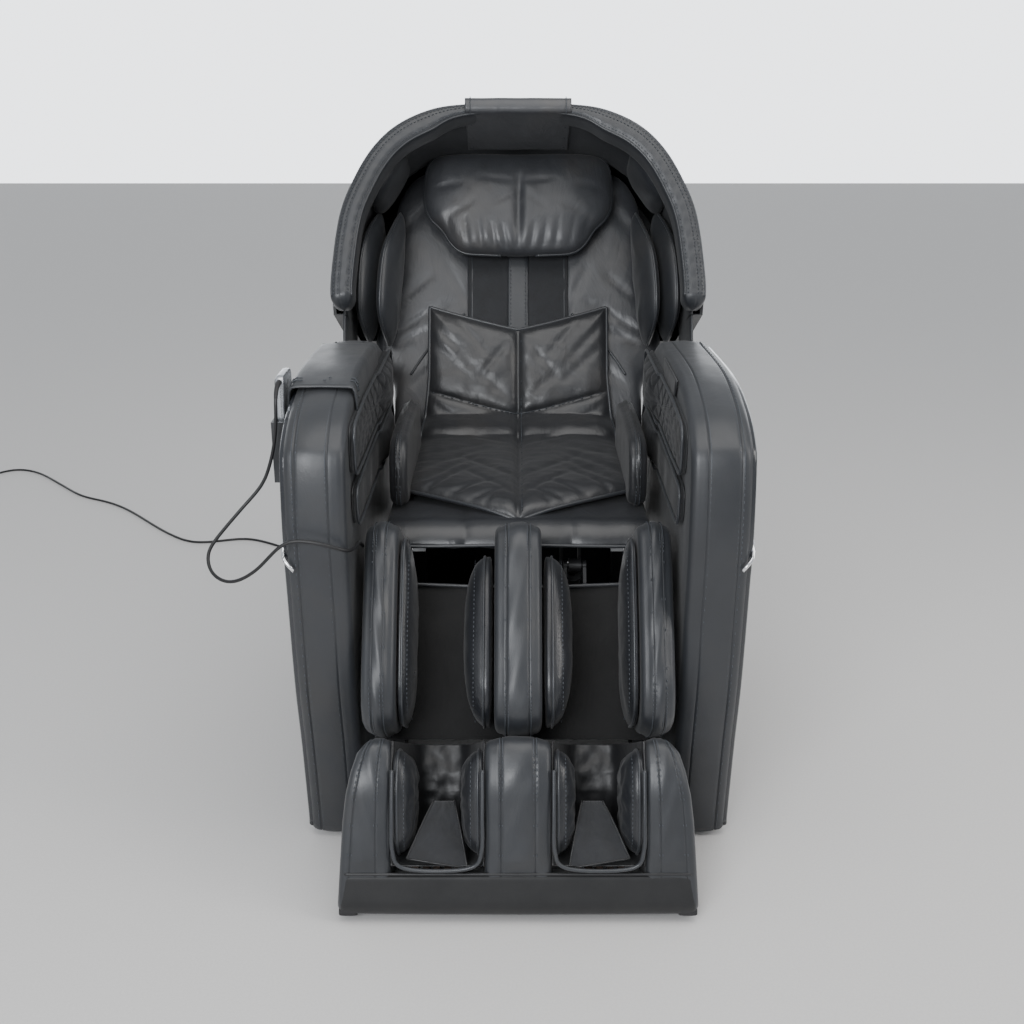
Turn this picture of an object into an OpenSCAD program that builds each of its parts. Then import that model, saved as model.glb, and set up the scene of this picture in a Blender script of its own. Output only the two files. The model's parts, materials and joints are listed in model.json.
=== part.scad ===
// Full-body massage chair: reclining hooded back on a zero-gravity seat, leg rest
// with calf channels and foot wells, two padded arms, handset and cords.
// +Z up, the sitter looks towards -Y, origin on the floor under the chair's centre.

/* [Overall] */
// width over the two arms' side panels
overall_w = 726; // [700:2:780]
// height of the main pivot shared by seat and back
pivot_z = 400; // [380:5:420]
// how far the main pivot lies behind the origin
pivot_y = 200; // [180:5:220]
// lean of the upright back from vertical, degrees
back_lean = 24.655; // [20:0.005:30]

/* [Back] */
// length of the back from the pivot to the hood's top
back_len = 747; // [720:1:760]
// half width of the hood at its widest
hood_half_w = 361; // [340:1:365]
// depth of the hood's rim plane in front of the pivot line
rim_h = 295; // [270:5:310]
// depth of the rear shell behind the pivot line
shell_back = 90; // [80:2:100]
// wall of the plastic shells
shell_t = 6; // [4:1:8]
// front face of the back cover
cover_h = 45; // [40:1:50]
// half width of the head pillow
pillow_half_w = 195; // [180:5:205]

/* [Arms] */
// inner face of each arm from the centreline
arm_in = 262; // [258:1:270]
// thickness of the hard side panel
panel_t = 18; // [10:1:22]
// highest point of the arms
arm_top = 784; // [760:1:800]

/* [Seat] */
// half width of the seat body
seat_half_w = 229; // [220:1:230]
// top of the quilted seat pad
seat_top = 545; // [530:1:560]
// knee hinge, forward of the origin
knee_y = -215; // [-230:1:-200]
// knee hinge height
knee_z = 463; // [450:1:475]

/* [Leg rest] */
// lean of the lowered leg rest from vertical, degrees
leg_lean = 32; // [28:1:36]
// length of the calf pillars below the knee hinge
pillar_len = 340; // [320:2:346]
// half width over the calf pillars
leg_half_w = 247; // [240:1:250]
// half width of the foot unit at its sole
foot_half_w = 282; // [270:1:290]

/* [Hardware] */
// radius of the main axle
axle_r = 12; // [10:1:14]
// running clearance of every bore on its shaft
run = 0.05; // [0.02:0.01:0.1]
// radius of the two cords
cord_r = 3.2; // [2.5:0.1:4]

/* [Hidden] */
$fn = 40;
panel_out = overall_w/2;
panel_in = panel_out - panel_t;
knee_axle_r = 8;

// ---- helpers ---------------------------------------------------------------

// corners of a polygon eased with short curves reaching d along each side
function soft(p, d, n=4) = [for (i=[0:len(p)-1])
  let (q=p[i], a=p[(i+len(p)-1)%len(p)], b=p[(i+1)%len(p)],
       A=q+(a-q)/norm(a-q)*min(d,norm(a-q)*.45), B=q+(b-q)/norm(b-q)*min(d,norm(b-q)*.45))
  each [for (k=[0:n]) let (t=k/n) A*(1-t)*(1-t)+q*2*t*(1-t)+B*t*t]];
// points of a circular arc
function arc(c, r, a0, a1, n=10) = [for (i=[0:n]) let (a=a0+(a1-a0)*i/n) c+r*[cos(a),sin(a)]];
// each point moved d towards c
function shrink(p, c, d) = [for (q=p) q+(c-q)/norm(c-q)*d];
// smooth run through a list of points, n steps to each span
function spline(p, n=5) = concat([for (i=[0:len(p)-2])
  let (a=p[max(i-1,0)], b=p[i], c=p[i+1], d=p[min(i+2,len(p)-1)])
  each [for (k=[0:n-1]) let (t=k/n)
   (2*b+(c-a)*t+(2*a-5*b+4*c-d)*t*t+(3*b-a-3*c+d)*t*t*t)/2]], [p[len(p)-1]]);
function reversed(p) = [for (i=[len(p)-1:-1:0]) p[i]];
function mirrored(p) = concat(p, [for (i=[len(p)-1:-1:0]) [-p[i][0],p[i][1]]]);

// a (Y,Z) outline between two X planes, and an (X,Z) outline between two Y planes
module across(x0, x1) translate([x0,0,0]) rotate([90,0,90]) linear_extrude(x1-x0) children();
module deep(y0, y1) translate([0,y1,0]) rotate([90,0,0]) linear_extrude(y1-y0) children();
module both() { children(); mirror([1,0,0]) children(); }
module left() { mirror([1,0,0]) children(); }
module rod(x0, x1, y, z, r) translate([x0,y,z]) rotate([0,90,0]) cylinder(h=x1-x0, r=r);
// a straight flat link with round ends in a plane of constant X
module link(x0, x1, a, b, r) {
  l = norm(b-a); ang = atan2(b[1]-a[1], b[0]-a[0]);
  rod(x0,x1,a[0],a[1],r); rod(x0,x1,b[0],b[1],r);
  translate([x0+0.1,a[0],a[1]]) rotate([ang,0,0]) translate([0,1,-r*0.85]) cube([x1-x0-0.2,l-2,1.7*r]);
}
// placed on the back (z up along it, -y out of its front), the leg rest and the hinges
module on_pivot() translate([0,pivot_y,pivot_z]) children();
module on_back() on_pivot() rotate([-back_lean,0,0]) children();
module on_leg() translate([0,knee_y,knee_z]) rotate([-leg_lean,0,0]) children();
// a round cord swept along a list of points
module sweep(p, r, up, n=8) {
  m = len(p);
  ring = [for (i=[0:m-1]) let (t=p[min(i+1,m-1)]-p[max(i-1,0)], u=t/norm(t),
      s0=cross(u,up), s=s0/norm(s0), v=cross(s,u))
      each [for (k=[0:n-1]) p[i]+r*(cos(360*k/n)*s+sin(360*k/n)*v)]];
  sides = [for (i=[0:m-2]) each [for (k=[0:n-1]) let (a=i*n+k, b=i*n+(k+1)%n)
      each [[a,b,a+n],[b,b+n,a+n]]]];
  caps = [[for (k=[n-1:-1:0]) k],[for (k=[0:n-1]) (m-1)*n+k]];
  polyhedron(ring, concat(sides,caps), convexity=6);
}

// ---- base -------------------------------------------------------------------

rail_in = 215; rail_out = 245; tower_in = 233;
tilt_lo = [-90,130]; tilt_hi = [-195,370];
back_lo = [5,380];   back_hi = [225,345];
leg_lo = [-70,330];  leg_hi = [-240,430];

module clevis(x, a, b, r=12, gap=14) {       // two cheeks from a tube at a to a pin at b
  link(x-gap-6, x-gap, a, b, r); link(x+gap, x+gap+6, a, b, r);
  rod(x-gap-8, x+gap+8, b[0], b[1], 4);
}
module base_frame() color([0.09,0.09,0.1]) difference() {
  union() {
    both() {
      translate([rail_in,-430,20]) cube([rail_out-rail_in,860,40]);
      translate([rail_in,400,60]) cube([rail_out-rail_in,30,150]);
      across(tower_in,rail_out) union() {
        polygon([[60,57],[340,57],[pivot_y+29,pivot_z+4],[pivot_y-29,pivot_z+4]]);
        translate([pivot_y,pivot_z]) circle(32);
      }
      for (y=[-330,300]) rod(rail_out-1, arm_in, y, 42, 10);
      translate([180,384,27]) cube([8,80,20]);
    }
    for (y=[-400,-120,120,380]) translate([-rail_in-1,y-12,26]) cube([2*rail_in+2,24,26]);
    clevis(0, [-117,39], tilt_lo, 10);
    both() rod(166,182,455,36,5);
  }
  rod(-260,260,pivot_y,pivot_z,axle_r);
}
module main_axle() color("silver") {
  rod(-rail_out,rail_out,pivot_y,pivot_z,axle_r);
  both() rod(rail_out,rail_out+6,pivot_y,pivot_z,20);
}
// four corner glides and a skid strip under the middle of the rails
module floor_glides() color([0.05,0.05,0.05]) {
  for (y=[-400,385]) both() translate([230,y,0]) cylinder(h=20, r=18);
  translate([-240,-14,0]) cube([480,28,20]);
}
module transport_wheel() color([0.05,0.05,0.05]) difference() {
  rod(166,179,455,36,30); rod(160,190,455,36,5+run);
}
module transport_wheel_left() left() transport_wheel();
module transport_wheel_right() transport_wheel();
module base_rear_cover() color([0.07,0.07,0.08]) difference() {
  deep(430,440) polygon(soft([[-rail_out,74],[rail_out,74],[rail_out,212],[-rail_out,212]],18));
  translate([116,420,128]) cube([28,30,44]);
  rod(112,148,435,150,2+run);
  translate([-120,420,110]) rotate([-90,0,0]) cylinder(h=40,r=9);
}
module power_rocker() color([0.3,0.02,0.02]) {
  across(119,141) polygon([[431,131],[440,131],[443,150],[446,169],[431,169]]);
  rod(112,148,435,150,2);
}
module control_box() color([0.12,0.12,0.13]) translate([-190,150,52]) cube([150,200,95]);
module air_pump() color([0.2,0.2,0.22]) union() {
  translate([30,150,52]) cube([150,200,8]);
  for (x=[70,140]) translate([x,165,100]) rotate([-90,0,0]) cylinder(h=170,r=40);
}

mains_route = [[-120,432,110],[-120,470,108],[-128,520,70],[-150,560,18],[-200,610,cord_r],
 [-330,730,cord_r],[-500,860,cord_r],[-675,980,cord_r],[-718,1012,cord_r],[-781,1040,cord_r],
 [-859,1016,cord_r],[-926,1010,cord_r],[-1023,1094,cord_r],[-1180,1279,cord_r],[-1270,1360,cord_r],
 [-1376,1425,cord_r],[-1485,1544,cord_r],[-1597,1664,cord_r],[-1688,1705,cord_r],[-1740,1650,cord_r],
 [-1772,1590,9],[-1790,1540,14]];
handset_route = [[-377,-366,790],[-377,-369.2,790],[-377,-380,790],[-377.5,-393,782],[-378,-400,764],
 [-379,-401,735],[-384,-401,700],[-392,-401,669],[-407,-404,633],[-443,-415,593],[-479,-440,553],
 [-490,-455,533],[-478,-480,511],[-444,-505,507],[-403,-520,531],[-364,-530,572],[-344,-530,584],
 [-314,-530,583],[-279,-527,573],[-258,-514,562],[-253,-480,556],[-254,-430,545],[-254,-380,520]];
module mains_cord() color([0.04,0.04,0.04]) {
  sweep(spline(mains_route,4), cord_r, [0.02,0.01,1]);
  translate([-120,431,110]) rotate([-90,0,0]) cylinder(h=22,r=8.9,$fn=24);
}
module mains_plug() color([0.04,0.04,0.04]) translate([-1790,1540,14]) rotate([90,0,-20])
  difference() {
    union() {
      cylinder(h=46,r1=7,r2=13,$fn=24);
      translate([0,0,46]) cylinder(h=6,r=13,$fn=24);
      for (x=[-6.5,6.5]) translate([x-1,-3.2,52]) cube([2,6.4,17]);
    }
    translate([0,0,-1]) cylinder(h=5,r=cord_r+0.1);
  }

// ---- arms -------------------------------------------------------------------

// side view of an arm: arched top, steep padded front, open rear slope
arm_front = [[-430,24],[-459,187],[-484,311],[-499,475],[-506,578],[-494,685],[-471,726],[-399,762],[-251,arm_top],[30,arm_top-8]];
arm_rear = [[120,740],[250,640],[345,480],[400,300],[425,60],[400,24]];
arm_outline = concat(spline(arm_front,4), arm_rear);
arm_mid = [-40,420];
arm_inner = shrink(arm_outline, arm_mid, 28);
panel_outline = shrink(arm_outline, arm_mid, 9);
panel_cut = shrink(arm_outline, arm_mid, 34);

module arm_body() color([0.10,0.10,0.11]) difference() {
  across(arm_in,panel_in) polygon(arm_outline);
  across(arm_in+7,panel_in+1) polygon(arm_inner);
}
module arm_body_left() left() arm_body();
module arm_body_right() arm_body();
module arm_panel() color([0.07,0.07,0.08]) difference() {
  across(panel_in,panel_out-4) polygon(panel_outline);
  across(panel_in-1,panel_out-10) polygon(panel_cut);
  arm_groove(0.3);
}
// long arched groove and bright strip over the side panel, from the front edge to the rear slope
module arm_groove(g=0) across(panel_out-12-g,panel_out+8) difference() {
  translate([-90,60]) circle(646+g, $fn=160);
  translate([-90,60]) circle(634-g, $fn=160);
  polygon([[-800,-700],[700,-700],[700,330],[-800,330]]);
}
module arm_trim() color("silver") intersection() {
  arm_groove();
  across(panel_out-12,panel_out) polygon(shrink(arm_outline, arm_mid, 10));
}
module arm_panel_left() left() arm_panel();
module arm_panel_right() arm_panel();
module arm_trim_left() left() arm_trim();
module arm_trim_right() arm_trim();

module forearm_pads() color([0.11,0.10,0.10]) for (z=[[566,642],[652,748]]) {
  pad_block(z, [[253,-440],[arm_in,-440],[arm_in,-128],[253,-128]]);
  pad_block(z, [[246,-122],[arm_in,-122],[arm_in,120],[232,120],[232,-90]]);
}
module pad_block(z, plan) intersection() {
  translate([0,0,z[0]]) linear_extrude(z[1]-z[0]) polygon(plan);
  across(220,arm_in+1) polygon(soft([[-440,z[0]],[120,z[0]],[120,z[1]-30],[60,z[1]],[-440,z[1]]],34));
}
module forearm_pads_left() left() forearm_pads();
module forearm_pads_right() forearm_pads();

saddle_line = spline([[-358,771],[-251,arm_top],[-100,arm_top-2],[-30,arm_top-5]],6);
// one leather strap bent over the arm, longer on its outer side
module arm_saddle() color([0.09,0.09,0.10]) left() difference() {
  across(arm_in-6,panel_out+3) polygon(concat([[-358,640]], [for (q=saddle_line) q+[0,5]], [[-30,640]]));
  across(arm_in-3,panel_out) polygon(concat([[-420,600],[-420,755]], [for (q=saddle_line) q+[0,2.4]], [[20,770],[20,600]]));
  translate([arm_in-20,-400,600]) cube([60,400,150]);
}
pocket_y = [-378,-272];
module handset_pocket() color([0.09,0.09,0.10]) left() difference() {
  translate([panel_out+3,pocket_y[0],628]) cube([26,pocket_y[1]-pocket_y[0],100]);
  translate([panel_out+5,pocket_y[0]+4,634]) cube([21,pocket_y[1]-pocket_y[0]-8,100]);
}
module handset() color([0.12,0.12,0.13]) left() {
  translate([panel_out+7,-368,636]) cube([14,86,164]);
  translate([panel_out+14,-325,800]) cylinder(h=10,r=5,$fn=24);
}
module handset_cord() color([0.04,0.04,0.04])
  sweep(spline([for (i=[1:len(handset_route)-1]) handset_route[i]],4), cord_r-0.4, [0.05,1,0.02]);

// ---- seat -------------------------------------------------------------------

module seat_frame() color([0.09,0.09,0.1]) {
  difference() {
    union() {
      both() across(200,225) {
        polygon([[knee_y+4,knee_z-19],[knee_y+4,knee_z+6],[-190,470],[165,470],[218,414],[pivot_y+4,pivot_z-27],[120,400],[-150,430]]);
        translate([pivot_y,pivot_z]) circle(30);
        translate([knee_y,knee_z]) circle(22);
        polygon([[-237,351],[-226,452],[-180,452],[-207,349]]);
        translate([-222,350]) circle(16);
      }
      rod(-201,201,-222,350,12);
      rod(-201,201,-40,440,12);
    }
    rod(-260,260,pivot_y,pivot_z,axle_r+run);
  }
  rod(-leg_half_w,leg_half_w,knee_y,knee_z,knee_axle_r);
  clevis(0, [-222,350], tilt_hi, 10);
  clevis(-100, [-40,440], back_lo, 10);
  clevis(100, [-40,440], leg_lo, 10);
}
module seat_pan() color([0.5,0.38,0.24]) translate([-seat_half_w+2,-188,470])
  cube([2*seat_half_w-4,350,14]);
module seat_cushion() color([0.10,0.10,0.11]) difference() {
  across(-seat_half_w,seat_half_w) polygon(concat(
    [[165,484],[165,512],[150,520]],
    arc([knee_y-20,knee_z+2],55,90,160,9),
    arc([knee_y-20,knee_z+2],30,158,100,6), [[-190,484]]));
  both() across(198,230) translate([knee_y,knee_z]) circle(24);
}
module seat_pad() color([0.11,0.11,0.12]) intersection() {
  across(-192,192) polygon(soft([[-215,521],[165,521],[165,seat_top],[-180,seat_top],[-215,535]],16));
  translate([0,0,500]) linear_extrude(80) polygon(soft([[-192,-205],[0,-215],[192,-205],[192,165],[-192,165]],24));
}
module hip_bolster() color([0.10,0.10,0.11]) intersection() {
  across(194,227) polygon(soft([[-215,521],[-215,647],[60,647],[130,590],[130,521]],40));
  deep(-260,200) polygon(soft([[194,500],[227,500],[227,647],[194,640]],14));
}
module hip_bolster_left() left() hip_bolster();
module hip_bolster_right() hip_bolster();

// ---- actuators: a motor body on its clevis and a rod with an open eye ---------------

// built with local +Y running from the lower pin to the upper eye
module on_line(x, a, b) translate([x,a[0],a[1]]) rotate([atan2(b[1]-a[1],b[0]-a[0]),0,0]) children();
module along(y0, y1, r, z=0) translate([0,y0,z]) rotate([-90,0,0]) cylinder(h=y1-y0,r=r);
module actuator_body(x, a, b, len, r=18) color([0.15,0.15,0.16]) on_line(x,a,b) difference() {
  union() {
    rod(-12,12,0,0,10);
    translate([-9,0,-7]) cube([18,40,14]);
    along(36,len,r);
  }
  rod(-13,13,0,0,4+run);
  along(42,len+1,8+run);
}
module actuator_rod(x, a, b, from, eye) color("silver") on_line(x,a,b) {
  l = norm(b-a);
  difference() {
    union() { along(from,l-eye,8); rod(-11,11,l,0,eye+4); }
    rod(-12,12,l,0,eye);
  }
}
module tilt_actuator_body() actuator_body(0,tilt_lo,tilt_hi,160);
module tilt_actuator_rod() actuator_rod(0,tilt_lo,tilt_hi,60,4.8);
module back_actuator_body() actuator_body(-100,back_lo,back_hi,150);
module back_actuator_rod() actuator_rod(-100,back_lo,back_hi,90,6.6);
module leg_actuator_body() actuator_body(100,leg_lo,leg_hi,125);
module leg_actuator_rod() actuator_rod(100,leg_lo,leg_hi,60,7.8);

// ---- back -------------------------------------------------------------------

// right half of the hood's outline seen square to the back, from the rim's lower end to the top
hood_half = spline([[hood_half_w-2,340],[hood_half_w,400],[hood_half_w-14,520],[hood_half_w-41,595],
  [hood_half_w-78,659],[hood_half_w-126,705],[170,735],[97,back_len-3],[0,back_len]],4);
function hood(d) = mirrored(shrink(hood_half, [0,450], d));
// depth profile (h forward, w up) that rounds the hood's rear and top
module depth_profile(d) across(-400,400) polygon([for (q=concat(
  [[-rim_h,300],[-rim_h,back_len+1]], arc([shell_back-66,back_len-66],66-d,90,0,8), [[shell_back-d,20],[-20,20],[-20,300]])) q]);

module shell_core(d) intersection() {
  union() {
    deep(-rim_h-1,shell_back-d) polygon(hood(d));
    deep(-20,shell_back-d) polygon([[-228+d,36-d],[228-d,36-d],[228-d,345],[-228+d,345]]);
  }
  depth_profile(d);
}
module back_shell() color([0.06,0.06,0.07]) on_back() difference() {
  shell_core(0);
  shell_core(shell_t);
  translate([-400,-rim_h-2,0]) cube([800,rim_h-240+2,900]);
  translate([-hood_half_w+27,-rim_h-2,300]) cube([2*hood_half_w-54,rim_h+2-19,60]);
}
// leather roll round the opening's edge, thicker at its lower ends
module hood_rim() color([0.10,0.10,0.11]) on_back() difference() {
  intersection() { deep(-rim_h,-240.5) polygon(hood(0)); depth_profile(0); }
  deep(-rim_h-1,-200) polygon(mirrored([[0,300],[hood_half_w-28,300],[hood_half_w-34,453],[309,552],[281,621],[243,675],[189,713],[150,727],[0,729]]));
}
// clear space between the lining's padded walls, d inside them
hood_space = [[0,300],[hood_half_w-26,300],[hood_half_w-26,400],[hood_half_w-36,520],[300,590],[266,648],[222,692],[160,722],[110,728],[0,731]];
module hood_lining() color([0.09,0.09,0.10]) on_back() difference() {
  intersection() { deep(-240,-50) polygon(hood(shell_t+1)); depth_profile(shell_t+1); }
  deep(-260,-40) polygon(mirrored(hood_space));
}
module back_frame() color([0.09,0.09,0.1]) on_pivot() {
  difference() {
    union() {
      rod(-190,190,0,0,18);
      rotate([-back_lean,0,0]) {
        both() { rod(168,192,0,0,28); translate([172,-16,0]) cube([20,32,700]); }
        for (z=[140,688]) translate([-173,-10,z]) cube([346,64,12]);
        for (z=[160,640]) both() translate([172,15,z]) cube([20,shell_back-shell_t-15,20]);
      }
      translate([0,-pivot_y,-pivot_z]) clevis(-100, [pivot_y,pivot_z], back_hi, 9.5);
    }
    rod(-200,200,0,0,axle_r+run);
  }
  rotate([-back_lean,0,0]) both() translate([60,40,146]) cylinder(h=548,r=8);
}
// cover cushion: padded board with a tall slot for the rollers
cover_half = [[228,132],[228,330],[276,358],[252,422],[259,552],[258,634],[224,688],[150,720]];
module back_cushion() color([0.10,0.10,0.11]) on_back() deep(-cover_h,-20) difference() {
  polygon(soft(mirrored(cover_half),22));
  polygon(soft([[-92,165],[92,165],[92,690],[-92,690]],20));
}
module spine_fabric() color([0.07,0.07,0.08]) on_back() deep(-cover_h-3,-cover_h)
  polygon(soft([[-106,158],[106,158],[106,700],[-106,700]],12));
module back_pad() color([0.11,0.11,0.12]) on_back() intersection() {
  deep(-78,-cover_h-3.5) polygon(soft([[-200,134],[-207,224],[-200,403],[-100,385],[0,352],[100,385],[200,403],[207,224],[200,134]],16));
  across(-230,230) polygon(soft([[-49,134],[-49,405],[-62,405],[-78,385],[-78,240],[-72,224],[-78,205],[-78,134]],10));
}
module head_pillow() color([0.10,0.10,0.11]) on_back() intersection() {
  deep(-124,-52) polygon(soft([[-138,720],[-190,650],[-200,584],[-110,508],[0,503],[110,508],[200,584],[190,650],[138,720]],34));
  across(-230,230) polygon(soft([[-52,500],[-52,722],[-122,722],[-124,500]],40));
  translate([0,0,480]) linear_extrude(260) polygon(soft([[-205,-52],[205,-52],[205,-90],[150,-124],[-150,-124],[-205,-90]],40));
}
module pillow_flap() color([0.10,0.10,0.11]) on_back() across(-104,104)
  polygon([[-112,722.3],[-237,722.3],[-rim_h-1,723],[-rim_h-5,727],[-rim_h-5,back_len+1],[-rim_h,back_len+5],
   [-150,back_len+5],[-150,back_len+1.5],[-rim_h+1,back_len+1.5],[-rim_h-1,back_len-2],[-rim_h-1,728],[-rim_h+0.5,725.5],[-112,725]]);
// two thin upright leaves a side, standing out of the back at the shoulders
module leaf(x0, w0, x1, w1) {
  ang = atan2(x1-x0,w0-w1);
  translate([x0,0,w0]) rotate([0,-ang,0]) translate([0,0,-norm([x1-x0,w1-w0])])
   across(-7,7) polygon(soft([[-56,40],[-150,20],[-205,60],[-190,norm([x1-x0,w1-w0])-30],[-120,norm([x1-x0,w1-w0])],[-56,norm([x1-x0,w1-w0])-40]],40));
}
module shoulder_airbags() color([0.10,0.10,0.11]) on_back() { leaf(287,576,312,330); leaf(244,581,270,322); }
module shoulder_airbags_left() left() shoulder_airbags();
module shoulder_airbags_right() shoulder_airbags();
module wing_pads() color([0.10,0.10,0.11]) on_back() both() intersection() {
  translate([258,-150,634]) rotate([0,-32,0]) across(-14,24) polygon(soft([[-80,-62],[80,-62],[80,62],[-80,62]],44));
  deep(-238,-60) polygon(mirrored(shrink(hood_space,[0,450],2)));
}

// ---- massage carriage ---------------------------------------------------------------

carriage_z = 180; head_z = carriage_z+65; head_y = 8;
module carriage() color([0.25,0.25,0.27]) on_back() difference() {
  union() {
    translate([-82,24,carriage_z]) cube([164,34,130]);
    both() across(66,72) polygon([[24,head_z-20],[24,head_z+20],[head_y-8,head_z+12],[head_y-12,head_z],[head_y-8,head_z-12]]);
  }
  both() translate([60,40,carriage_z-1]) cylinder(h=140,r=8+run);
  rod(-90,90,head_y,head_z,7+run);
}
roller_r = 20;
roller_seats = [[head_y-16,head_z-45],[head_y-16,head_z+45]];
module roller_head() color("silver") on_back() {
  rod(-76,76,head_y,head_z,7);
  both() {
    difference() {
      across(57,63) polygon([[head_y-26,head_z-57],[head_y-8,head_z-57],[head_y+12,head_z-9],[head_y+12,head_z+9],[head_y-8,head_z+57],[head_y-26,head_z+57]]);
      rod(50,70,head_y,head_z,6.9);
    }
    for (s=roller_seats) { rod(32,57,s[0],s[1],5); rod(30,33,s[0],s[1],8); }
  }
}
module roller_pair(s) color([0.3,0.28,0.25]) on_back() both() difference() {
  rod(34,54,s[0],s[1],roller_r); rod(33,55,s[0],s[1],5+run);
}
module rollers_upper() roller_pair(roller_seats[1]);
module rollers_lower() roller_pair(roller_seats[0]);

// ---- leg rest (local z up towards the knee hinge, -y out of its front) -----------------

knee_clear = 99;
module pillar_profile(v0, v1, top, bottom) polygon(soft(concat(
  [[-38,-bottom]], [[-38,-sqrt(knee_clear*knee_clear-38*38)]],
  [for (a=[22.6:10.2:84]) -knee_clear*[sin(a),cos(a)]],
  [[-knee_clear,top-4],[-v0+10,top],[-v0,top-14],[-v1,-bottom]]),6,3));
module leg_frame() color([0.09,0.09,0.1]) on_leg() {
  difference() {
    union() {
      both() { rod(231,243,0,0,22); translate([231,-20,-pillar_len]) cube([12,40,pillar_len]); }
      for (z=[-118,-328]) rod(-232,232,0,z,12);
      both() translate([120,0,-pillar_len+2]) cylinder(h=190,r=14);
    }
    rod(-250,250,0,0,knee_axle_r+run);
    both() translate([120,0,-pillar_len-1]) cylinder(h=200,r=9+run);
  }
  rotate([leg_lean,0,0]) translate([0,-knee_y,-knee_z]) {
    for (s=[-1,1]) translate([100,0,0]) link(s>0?14:-20, s>0?20:-14, [-277.5,363], leg_hi, 9);
    rod(80,120,leg_hi[0],leg_hi[1],4);
  }
  both() for (z=[-126,-336]) translate([180,-30,z]) cube([20,24,16]);
}
module calf_pillar() color([0.12,0.12,0.13]) on_leg() intersection() {
  across(190,leg_half_w) pillar_profile(191,208,8,pillar_len);
  translate([0,0,-400]) linear_extrude(450) polygon(soft([[190,-30],[leg_half_w,-30],[leg_half_w,-212],[190,-206]],16));
}
module calf_pillar_left() left() calf_pillar();
module calf_pillar_right() calf_pillar();
module calf_centre() color([0.12,0.12,0.13]) on_leg() {
  intersection() {
    across(-52,52) pillar_profile(188,204,0,pillar_len);
    translate([0,0,-400]) linear_extrude(450) polygon(soft([[-52,-30],[52,-30],[46,-210],[-46,-210]],16));
  }
  deep(-38,-30) polygon([[-leg_half_w+4,-pillar_len],[leg_half_w-4,-pillar_len],[leg_half_w-4,-100],[-leg_half_w+4,-100]]);
}
module calf_airbags() color([0.09,0.09,0.10]) on_leg() both() for (x=[[55,84],[163,188]])
  across(x[0],x[1]) polygon(soft([[-40,-330],[-40,-104],[-112,-30],[-170,-20],[-192,-324]],24));

// ---- foot unit ---------------------------------------------------------------

foot_top = 350;
foot_side = [[0,-foot_top],[-212,-foot_top],[-217,-430],[-158,-612],[-140,-616],[-15,-536]];
well_in = 74; well_out = 183; sole_u = 543;
foot_roller_at = [-110,-565];
module foot_housing() color([0.10,0.10,0.11]) on_leg() difference() {
  union() {
    difference() {
      intersection() {
        across(-foot_half_w,foot_half_w) polygon(soft(foot_side,14));
        deep(-300,60) polygon(soft([[-242,-foot_top],[242,-foot_top],[262,-480],[foot_half_w,-617],[-foot_half_w,-617],[-262,-480]],14));
      }
      both() difference() {
        translate([well_in,-240,-sole_u-60]) cube([well_out-well_in,205,sole_u-foot_top+80]);
        across(well_in-1,well_out+1) polygon([[-240,-sole_u],[-20,-523],[-20,-640],[-240,-640]]);
      }
      both() translate([well_in+8,-146,-600]) cube([well_out-well_in-16,72,90]);
    }
    both() translate([120,0,-foot_top-10]) cylinder(h=170,r=9);
    both() translate([foot_half_w-40,-150,-612]) cube([34,20,14]);
  }
  both() rod(well_in-6,well_out+6,foot_roller_at[0],foot_roller_at[1],5+run);
}
module foot_airbags() color([0.09,0.09,0.10]) on_leg() both() for (x=[[well_in+0.5,well_in+14],[well_out-14,well_out-0.5]])
  across(x[0],x[1]) polygon(soft([[-60,-370],[-190,-370],[-196,-500],[-60,-500]],34));
module foot_roller() color([0.25,0.22,0.2]) on_leg() {
  rod(well_in-5,well_out+5,foot_roller_at[0],foot_roller_at[1],5);
  for (i=[0:4]) translate([well_in+16+i*17,foot_roller_at[0],foot_roller_at[1]]) rotate([0,90,0]) cylinder(h=10,r=i%2==0?24:20);
}
module foot_roller_left() left() foot_roller();
module foot_roller_right() foot_roller();

// ---- every node, or the one asked for ---------------------------------------------------

base_frame();
main_axle();
floor_glides();
transport_wheel_left();
transport_wheel_right();
base_rear_cover();
control_box();
air_pump();
power_rocker();
mains_cord();
mains_plug();
arm_body_left();
arm_body_right();
arm_panel_left();
arm_panel_right();
arm_trim_left();
arm_trim_right();
forearm_pads_left();
forearm_pads_right();
arm_saddle();
handset_pocket();
handset();
handset_cord();
seat_frame();
seat_pan();
seat_cushion();
seat_pad();
hip_bolster_left();
hip_bolster_right();
tilt_actuator_body();
tilt_actuator_rod();
back_actuator_body();
back_actuator_rod();
leg_actuator_body();
leg_actuator_rod();
back_frame();
back_shell();
hood_rim();
hood_lining();
back_cushion();
spine_fabric();
back_pad();
head_pillow();
pillow_flap();
shoulder_airbags_left();
shoulder_airbags_right();
wing_pads();
carriage();
roller_head();
rollers_upper();
rollers_lower();
leg_frame();
calf_pillar_left();
calf_pillar_right();
calf_centre();
calf_airbags();
foot_housing();
foot_airbags();
foot_roller_left();
foot_roller_right();
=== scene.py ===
"""A black hooded massage chair: its look, built on the shared frame.

Back places are (x across, w up the back, h out of its front) and leg-rest places (x across, u down it,
v out of its front), in millimetres from the hinge that each turns about; other places are in millimetres
in the row frame. Pieces are made in metres.
"""
import json
import math

import bmesh
import bpy
import numpy as np
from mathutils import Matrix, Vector, noise


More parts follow.
